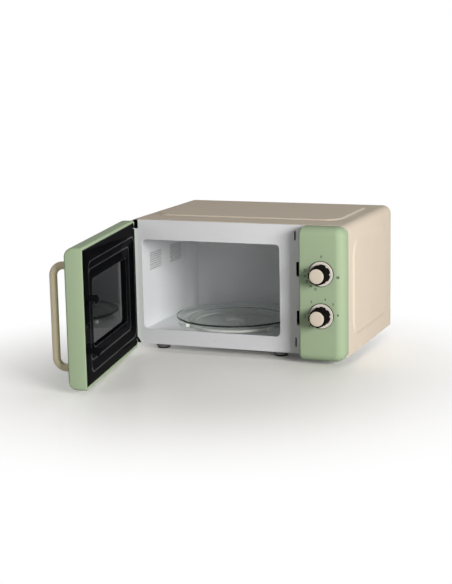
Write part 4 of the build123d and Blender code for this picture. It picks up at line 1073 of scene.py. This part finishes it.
# (radius, height over the rim) in mm, for a tray of the drawn radius
drawn_radius = 122.5
tray_profile = [(0, -12), (101, -12), (105, -11.9), (108, -11.2), (118.5, -5.2), (121.6, -3.6),
                (122.4, -2.2), (122.5, -1.2), (122.1, -0.35), (121.2, 0), (119.9, -0.3), (118.6, -1.4),
                (107.5, -7.2), (104.5, -7.9), (102.0, -8.0), (99.5, -8.0), (99.0, -7.55), (97.6, -7.4),
                (96.2, -7.55), (95.7, -8.0), (60, -8.0), (0, -8.0)]
plate = turned("turntable_glass", [(r / drawn_radius * tray_radius, h * mm) for r, h in tray_profile],
               (tray_middle.x, tray_middle.y, rim_z), (0, 0, 1), steps=160)
lug_x, lug_y, lug_side = 16 * mm, 4 * mm, 4 * mm
lug_height = rim_z - underside - tray_low.z
for angle in (90, 210, 330):
    lug = box_piece("lug", (lug_x, lug_y, 0), (lug_x + lug_side, lug_y + lug_side, lug_height))
    lug.data.transform(Matrix.Translation((tray_middle.x, tray_middle.y, tray_low.z))
                       @ Matrix.Rotation(math.radians(angle), 4, "Z"))
    add_shell(plate, lug)
hand_in(plate, "tray", tray_glass, "clear_glass", "glass_tray")

# %% [markdown]
# ## The holed screen in the door
# The steel pan behind the window is punched with thousands of small holes, far smaller than the microwaves'
# length. A tree lays out the holes: a grid of points with every other row shifted by half a pitch, a
# six-sided cell with a hole at each point, all welded together and then thickened.

# %% The sieve tree: places of the holes
row_share = math.sqrt(0.75)
sieve_tree, given = new_tree("sieve", Columns="Int", Rows="Int", Pitch="Float", Hole="Float",
                             Thickness="Float", Finish="Material")
row_step = node(sieve_tree, "ShaderNodeMath", {0: given["Pitch"], 1: row_share}, operation="MULTIPLY")
gaps = [node(sieve_tree, "ShaderNodeMath", {0: given[way], 1: 1.0}, operation="SUBTRACT")
        for way in ("Columns", "Rows")]
wide = node(sieve_tree, "ShaderNodeMath", {0: gaps[0], 1: given["Pitch"]}, operation="MULTIPLY")
high = node(sieve_tree, "ShaderNodeMath", {0: gaps[1], 1: row_step}, operation="MULTIPLY")
grid = node(sieve_tree, "GeometryNodeMeshGrid", {
    "Size X": wide, "Size Y": high, "Vertices X": given["Columns"], "Vertices Y": given["Rows"]})
count = node(sieve_tree, "GeometryNodeInputIndex")
row = node(sieve_tree, "ShaderNodeMath", {0: count, 1: given["Rows"]}, operation="MODULO")
odd = node(sieve_tree, "ShaderNodeMath", {0: row, 1: 2.0}, operation="MODULO")
whole = node(sieve_tree, "ShaderNodeMath", {0: odd, 1: given["Pitch"]}, operation="MULTIPLY")
half = node(sieve_tree, "ShaderNodeMath", {0: whole, 1: 0.5}, operation="MULTIPLY")
quarter_pitch = node(sieve_tree, "ShaderNodeMath", {0: given["Pitch"], 1: 0.25}, operation="MULTIPLY")
shift = node(sieve_tree, "ShaderNodeMath", {0: half, 1: quarter_pitch}, operation="SUBTRACT")
offset = node(sieve_tree, "ShaderNodeCombineXYZ", {"X": shift})
points = node(sieve_tree, "GeometryNodeSetPosition", {"Geometry": grid.outputs["Mesh"], "Offset": offset})

# %% The sieve tree: cells with holes
weld = 0.02 * mm
cell_radius = node(sieve_tree, "ShaderNodeMath", {0: given["Pitch"], 1: math.sqrt(3)}, operation="DIVIDE")
edge = node(sieve_tree, "GeometryNodeCurvePrimitiveCircle", {"Resolution": 6, "Radius": cell_radius})
edge = node(sieve_tree, "GeometryNodeTransform", {
    "Geometry": edge.outputs["Curve"], "Rotation": (0.0, 0.0, math.radians(30))})
hole = node(sieve_tree, "GeometryNodeCurvePrimitiveCircle", {"Resolution": 8, "Radius": given["Hole"]})
outline = node(sieve_tree, "GeometryNodeJoinGeometry")
sieve_tree.links.new(edge.outputs[0], outline.inputs[0])
sieve_tree.links.new(hole.outputs["Curve"], outline.inputs[0])
cell = node(sieve_tree, "GeometryNodeFillCurve", {0: outline})
cells = node(sieve_tree, "GeometryNodeInstanceOnPoints", {"Points": points, "Instance": cell})
flat = node(sieve_tree, "GeometryNodeRealizeInstances", {"Geometry": cells})
flat = node(sieve_tree, "GeometryNodeMergeByDistance", {"Geometry": flat, "Distance": weld})
raised = node(sieve_tree, "GeometryNodeExtrudeMesh", {
    "Mesh": flat, "Offset Scale": given["Thickness"], "Individual": False})
under = node(sieve_tree, "GeometryNodeFlipFaces", {"Mesh": flat})
shut = node(sieve_tree, "GeometryNodeJoinGeometry")
sieve_tree.links.new(raised.outputs["Mesh"], shut.inputs[0])
sieve_tree.links.new(under.outputs[0], shut.inputs[0])
shut = node(sieve_tree, "GeometryNodeMergeByDistance", {"Geometry": shut, "Distance": weld})
end_tree(sieve_tree, given, shut)

# %% The screen's pan with its sieve
pitch, punch = 3.4 * mm, 1.15 * mm
screen_sheet = 0.8 * mm
sieve_share, sieve_sink = 0.6, 0.2
sieve_lap = 3 * mm
pan_corner, view_corner = 2 * mm, 4 * mm
screen_low, screen_high = closed_box("door_screen")
pan = plan_of(screen_low, screen_high)
view = tuple((x + side * window_lip, z + side * window_lip) for (x, z), side in zip(well, (1, -1)))
face, back = screen_low.y, screen_low.y + screen_sheet
pan_rings = [grown_ring(pan, pan_corner, 0, y) for y in (screen_high.y, face)]
pan_rings += [grown_ring(view, view_corner, sieve_lap, y) for y in (face, back)]
pan_rings += [grown_ring(pan, pan_corner, -screen_sheet, y) for y in (back, screen_high.y)]
screen = skin("holed_screen", pan_rings, joined=True)
reach = [high - low + 3 * sieve_lap for low, high in zip(*view)]
sieve = new_object("sieve", [(0, 0, 0)], [])
run_tree(sieve, sieve_tree, Columns=int(reach[0] / pitch), Rows=int(reach[1] / pitch / row_share),
         Pitch=pitch, Hole=punch, Thickness=screen_sheet * sieve_share, Finish=black_paint)
middle = [(low + high) / 2 for low, high in zip(*view)]
sieve.data.transform(Matrix.Translation((middle[0], back - sieve_sink * screen_sheet, middle[1]))
                     @ Matrix.Rotation(math.pi / 2, 4, "X"))
add_shell(screen, sieve)
screen.data.transform(to_open)
hand_in(screen, "door", black_paint, "zinc_steel", "door_screen")

# %% [markdown]
# ## The printed scale
# The panel is printed round each knob with plain numbers: minutes for the timer, steps for the power. Text is
# made flat, turned into a mesh, and set a twentieth of a millimetre proud of the face, like a layer of ink.

# %% Numbers round the knobs
print_height = 6.0 * mm
print_radius = 31.5 * mm
print_weight = 0.15 * mm
ink_thickness = 0.05 * mm
# (words, degrees clockwise from the top)
timer_scale = [("0", 0), ("10", 100)] + [(str(15 + 5 * k), 202 + 19.5 * k) for k in range(5)]
power_scale = [("1", 228), ("2", 265), ("3", 322), ("4", 13), ("5", 44), ("6", 85)]


def text_mesh(words, x, z):
    """Some words as a thin mesh on the panel's face, their middle at a place in X and Z."""
    letters = bpy.data.curves.new("letters", "FONT")
    letters.body = words
    letters.size = print_height
    letters.extrude = ink_thickness
    letters.offset = print_weight
    letters.align_x = "CENTER"
    letters.align_y = "CENTER"
    holder = placed("letters", letters)
    mesh = evaluated_mesh(holder)
    bpy.data.objects.remove(holder)
    mesh.transform(Matrix.Translation((x, panel_low.y, z)) @ Matrix.Rotation(math.pi / 2, 4, "X"))
    return placed("letters", mesh)


prints = new_object("panel_numbers", [], [])
for middle, marks in zip(knob_places, (timer_scale, power_scale)):
    for words, angle in marks:
        turn = math.radians(angle)
        add_shell(prints, text_mesh(words, middle.x + print_radius * math.sin(turn),
                                    middle.z + print_radius * math.cos(turn)))
hand_in(prints, "cabinet", print_ink, "knob_black")

# %% [markdown]
# ## Camera, floor and light
# The camera stands where the photograph was taken from: its place, turn and lens were worked out from the
# edges of the case. One large soft box to the right and in front gives the bright side and the darker top. A
# weak one in front on the left and a weak one above soften the shadows, a low one behind on the left shows
# the back, and the room's own light does the rest. The floor keeps the shadow near the oven and fades to
# plain white further out, for what is seen directly, in gloss or through glass.

# %% Camera
camera_place = Vector((0.95139, -2.62318, 0.62787))
camera_yaw, camera_pitch, camera_roll = (math.radians(angle) for angle in (21.36, -11.25, -1.12))
picture = Vector((452, 584))
focal_pixels = 1427.37
centre_offset = Vector((2.95, 12.74))
level = math.cos(camera_pitch)
ahead = Vector((-math.sin(camera_yaw) * level, math.cos(camera_yaw) * level, math.sin(camera_pitch)))
lens = bpy.data.cameras.new("camera")
lens.sensor_width = 36.0
lens.lens = focal_pixels / picture.y * lens.sensor_width
lens.shift_x = -centre_offset.x / picture.y
lens.shift_y = centre_offset.y / picture.y
lens.clip_start, lens.clip_end = 0.05, 60.0
camera = placed("camera", lens)
upright = ahead.to_track_quat("-Z", "Y").to_matrix().to_4x4()
camera.matrix_world = Matrix.Translation(camera_place) @ upright @ Matrix.Rotation(camera_roll, 4, "Z")
bpy.context.scene.camera = camera
print(f"camera lens {lens.lens:.1f} mm")


# %% Floor
def seen_rays(tree):
    """One for what the camera sees directly, in gloss or through glass, and zero for light on the way."""
    rays = node(tree, "ShaderNodeLightPath")
    either = node(tree, "ShaderNodeMath", {
        0: rays.outputs["Is Camera Ray"], 1: rays.outputs["Is Glossy Ray"]}, operation="ADD")
    return node(tree, "ShaderNodeMath", {
        0: either, 1: rays.outputs["Is Transmission Ray"]}, operation="ADD", use_clamp=True)


floor_middle = (0.02, -0.28, 0.0)
fade_start, fade_end = 0.14, 0.66
floor_gloss, floor_roughness = 0.07, 0.22
white = ink("#FFFFFF")
lit_paint = ink("#B4B3B1")
# over one, so that the floor shows nearly white while it sends less light back
seen_paint = (1.2, 1.175, 1.13, 1.0)
floor_reach = 40
floor_corners = [(-floor_reach, -floor_reach, 0), (floor_reach, -floor_reach, 0),
                 (floor_reach, 2 * floor_reach, 0), (-floor_reach, 2 * floor_reach, 0)]
floor = new_object("floor", floor_corners, [(0, 1, 2, 3)])
floor_paint, tree, _ = blank_material("studio_floor")
seen = seen_rays(tree)
place = node(tree, "ShaderNodeTexCoord").outputs["Object"]
away = node(tree, "ShaderNodeVectorMath", {0: place, 1: floor_middle}, operation="DISTANCE")
far = node(tree, "ShaderNodeMapRange", {
    "Value": away.outputs["Value"], "From Min": fade_start, "From Max": fade_end},
    interpolation_type="SMOOTHSTEP")
fade = node(tree, "ShaderNodeMath", {0: far, 1: seen}, operation="MULTIPLY")
paint = node(tree, "ShaderNodeMixRGB", {"Fac": seen, "Color1": lit_paint, "Color2": seen_paint})
matt = node(tree, "ShaderNodeBsdfDiffuse", {"Color": paint})
sheen = node(tree, "ShaderNodeBsdfGlossy", {"Color": white, "Roughness": floor_roughness})
near = node(tree, "ShaderNodeMixShader", {0: floor_gloss, 1: matt, 2: sheen})
glow = node(tree, "ShaderNodeEmission", {"Color": white, "Strength": 1.0})
both = node(tree, "ShaderNodeMixShader", {0: fade, 1: near, 2: glow})
tree.links.new(both.outputs["Shader"], tree.nodes["Material Output"].inputs["Surface"])
floor.data.materials.append(floor_paint)
print("floor fades to white from", fade_start, "to", fade_end, "m")

# %% Light
room_light = 0.1
world = bpy.data.worlds.new("studio")
bpy.context.scene.world = world
world.use_nodes = True
tree = world.node_tree
strength = node(tree, "ShaderNodeMapRange", {"Value": seen_rays(tree), "To Min": room_light, "To Max": 1.0})
tree.links.new(strength.outputs["Result"], tree.nodes["Background"].inputs["Strength"])
tree.nodes["Background"].inputs["Color"].default_value = white


def soft_box(name, place, aim, size, power, mirrored=True):
    """A rectangular lamp at a place, turned to an aim, and seen in gloss where mirrored."""
    lamp = bpy.data.lights.new(name, "AREA")
    lamp.shape = "RECTANGLE"
    lamp.size, lamp.size_y = size
    lamp.energy = power
    made = placed(name, lamp)
    made.location = place
    made.rotation_mode = "QUATERNION"
    made.rotation_quaternion = (Vector(aim) - Vector(place)).to_track_quat("-Z", "Y")
    made.visible_camera = False
    made.visible_glossy = mirrored


soft_box("key_soft_box", (2.42, -1.8, 0.82), (0.0, -0.1, 0.12), (1.4, 1.0), 86)
soft_box("fill_soft_box", (-1.8, -2.2, 1.3), (0.0, -0.1, 0.1), (1.6, 1.2), 8)
soft_box("top_soft_box", (0.3, 0.5, 2.4), (0.0, 0.0, 0.1), (1.4, 1.2), 7, mirrored=False)
soft_box("back_soft_box", (-2.3, 2.2, 0.5), (0.0, 0.0, 0.14), (1.6, 0.8), 44, mirrored=False)
bpy.context.scene.view_settings.view_transform = "Standard"
print("four soft boxes and the room")
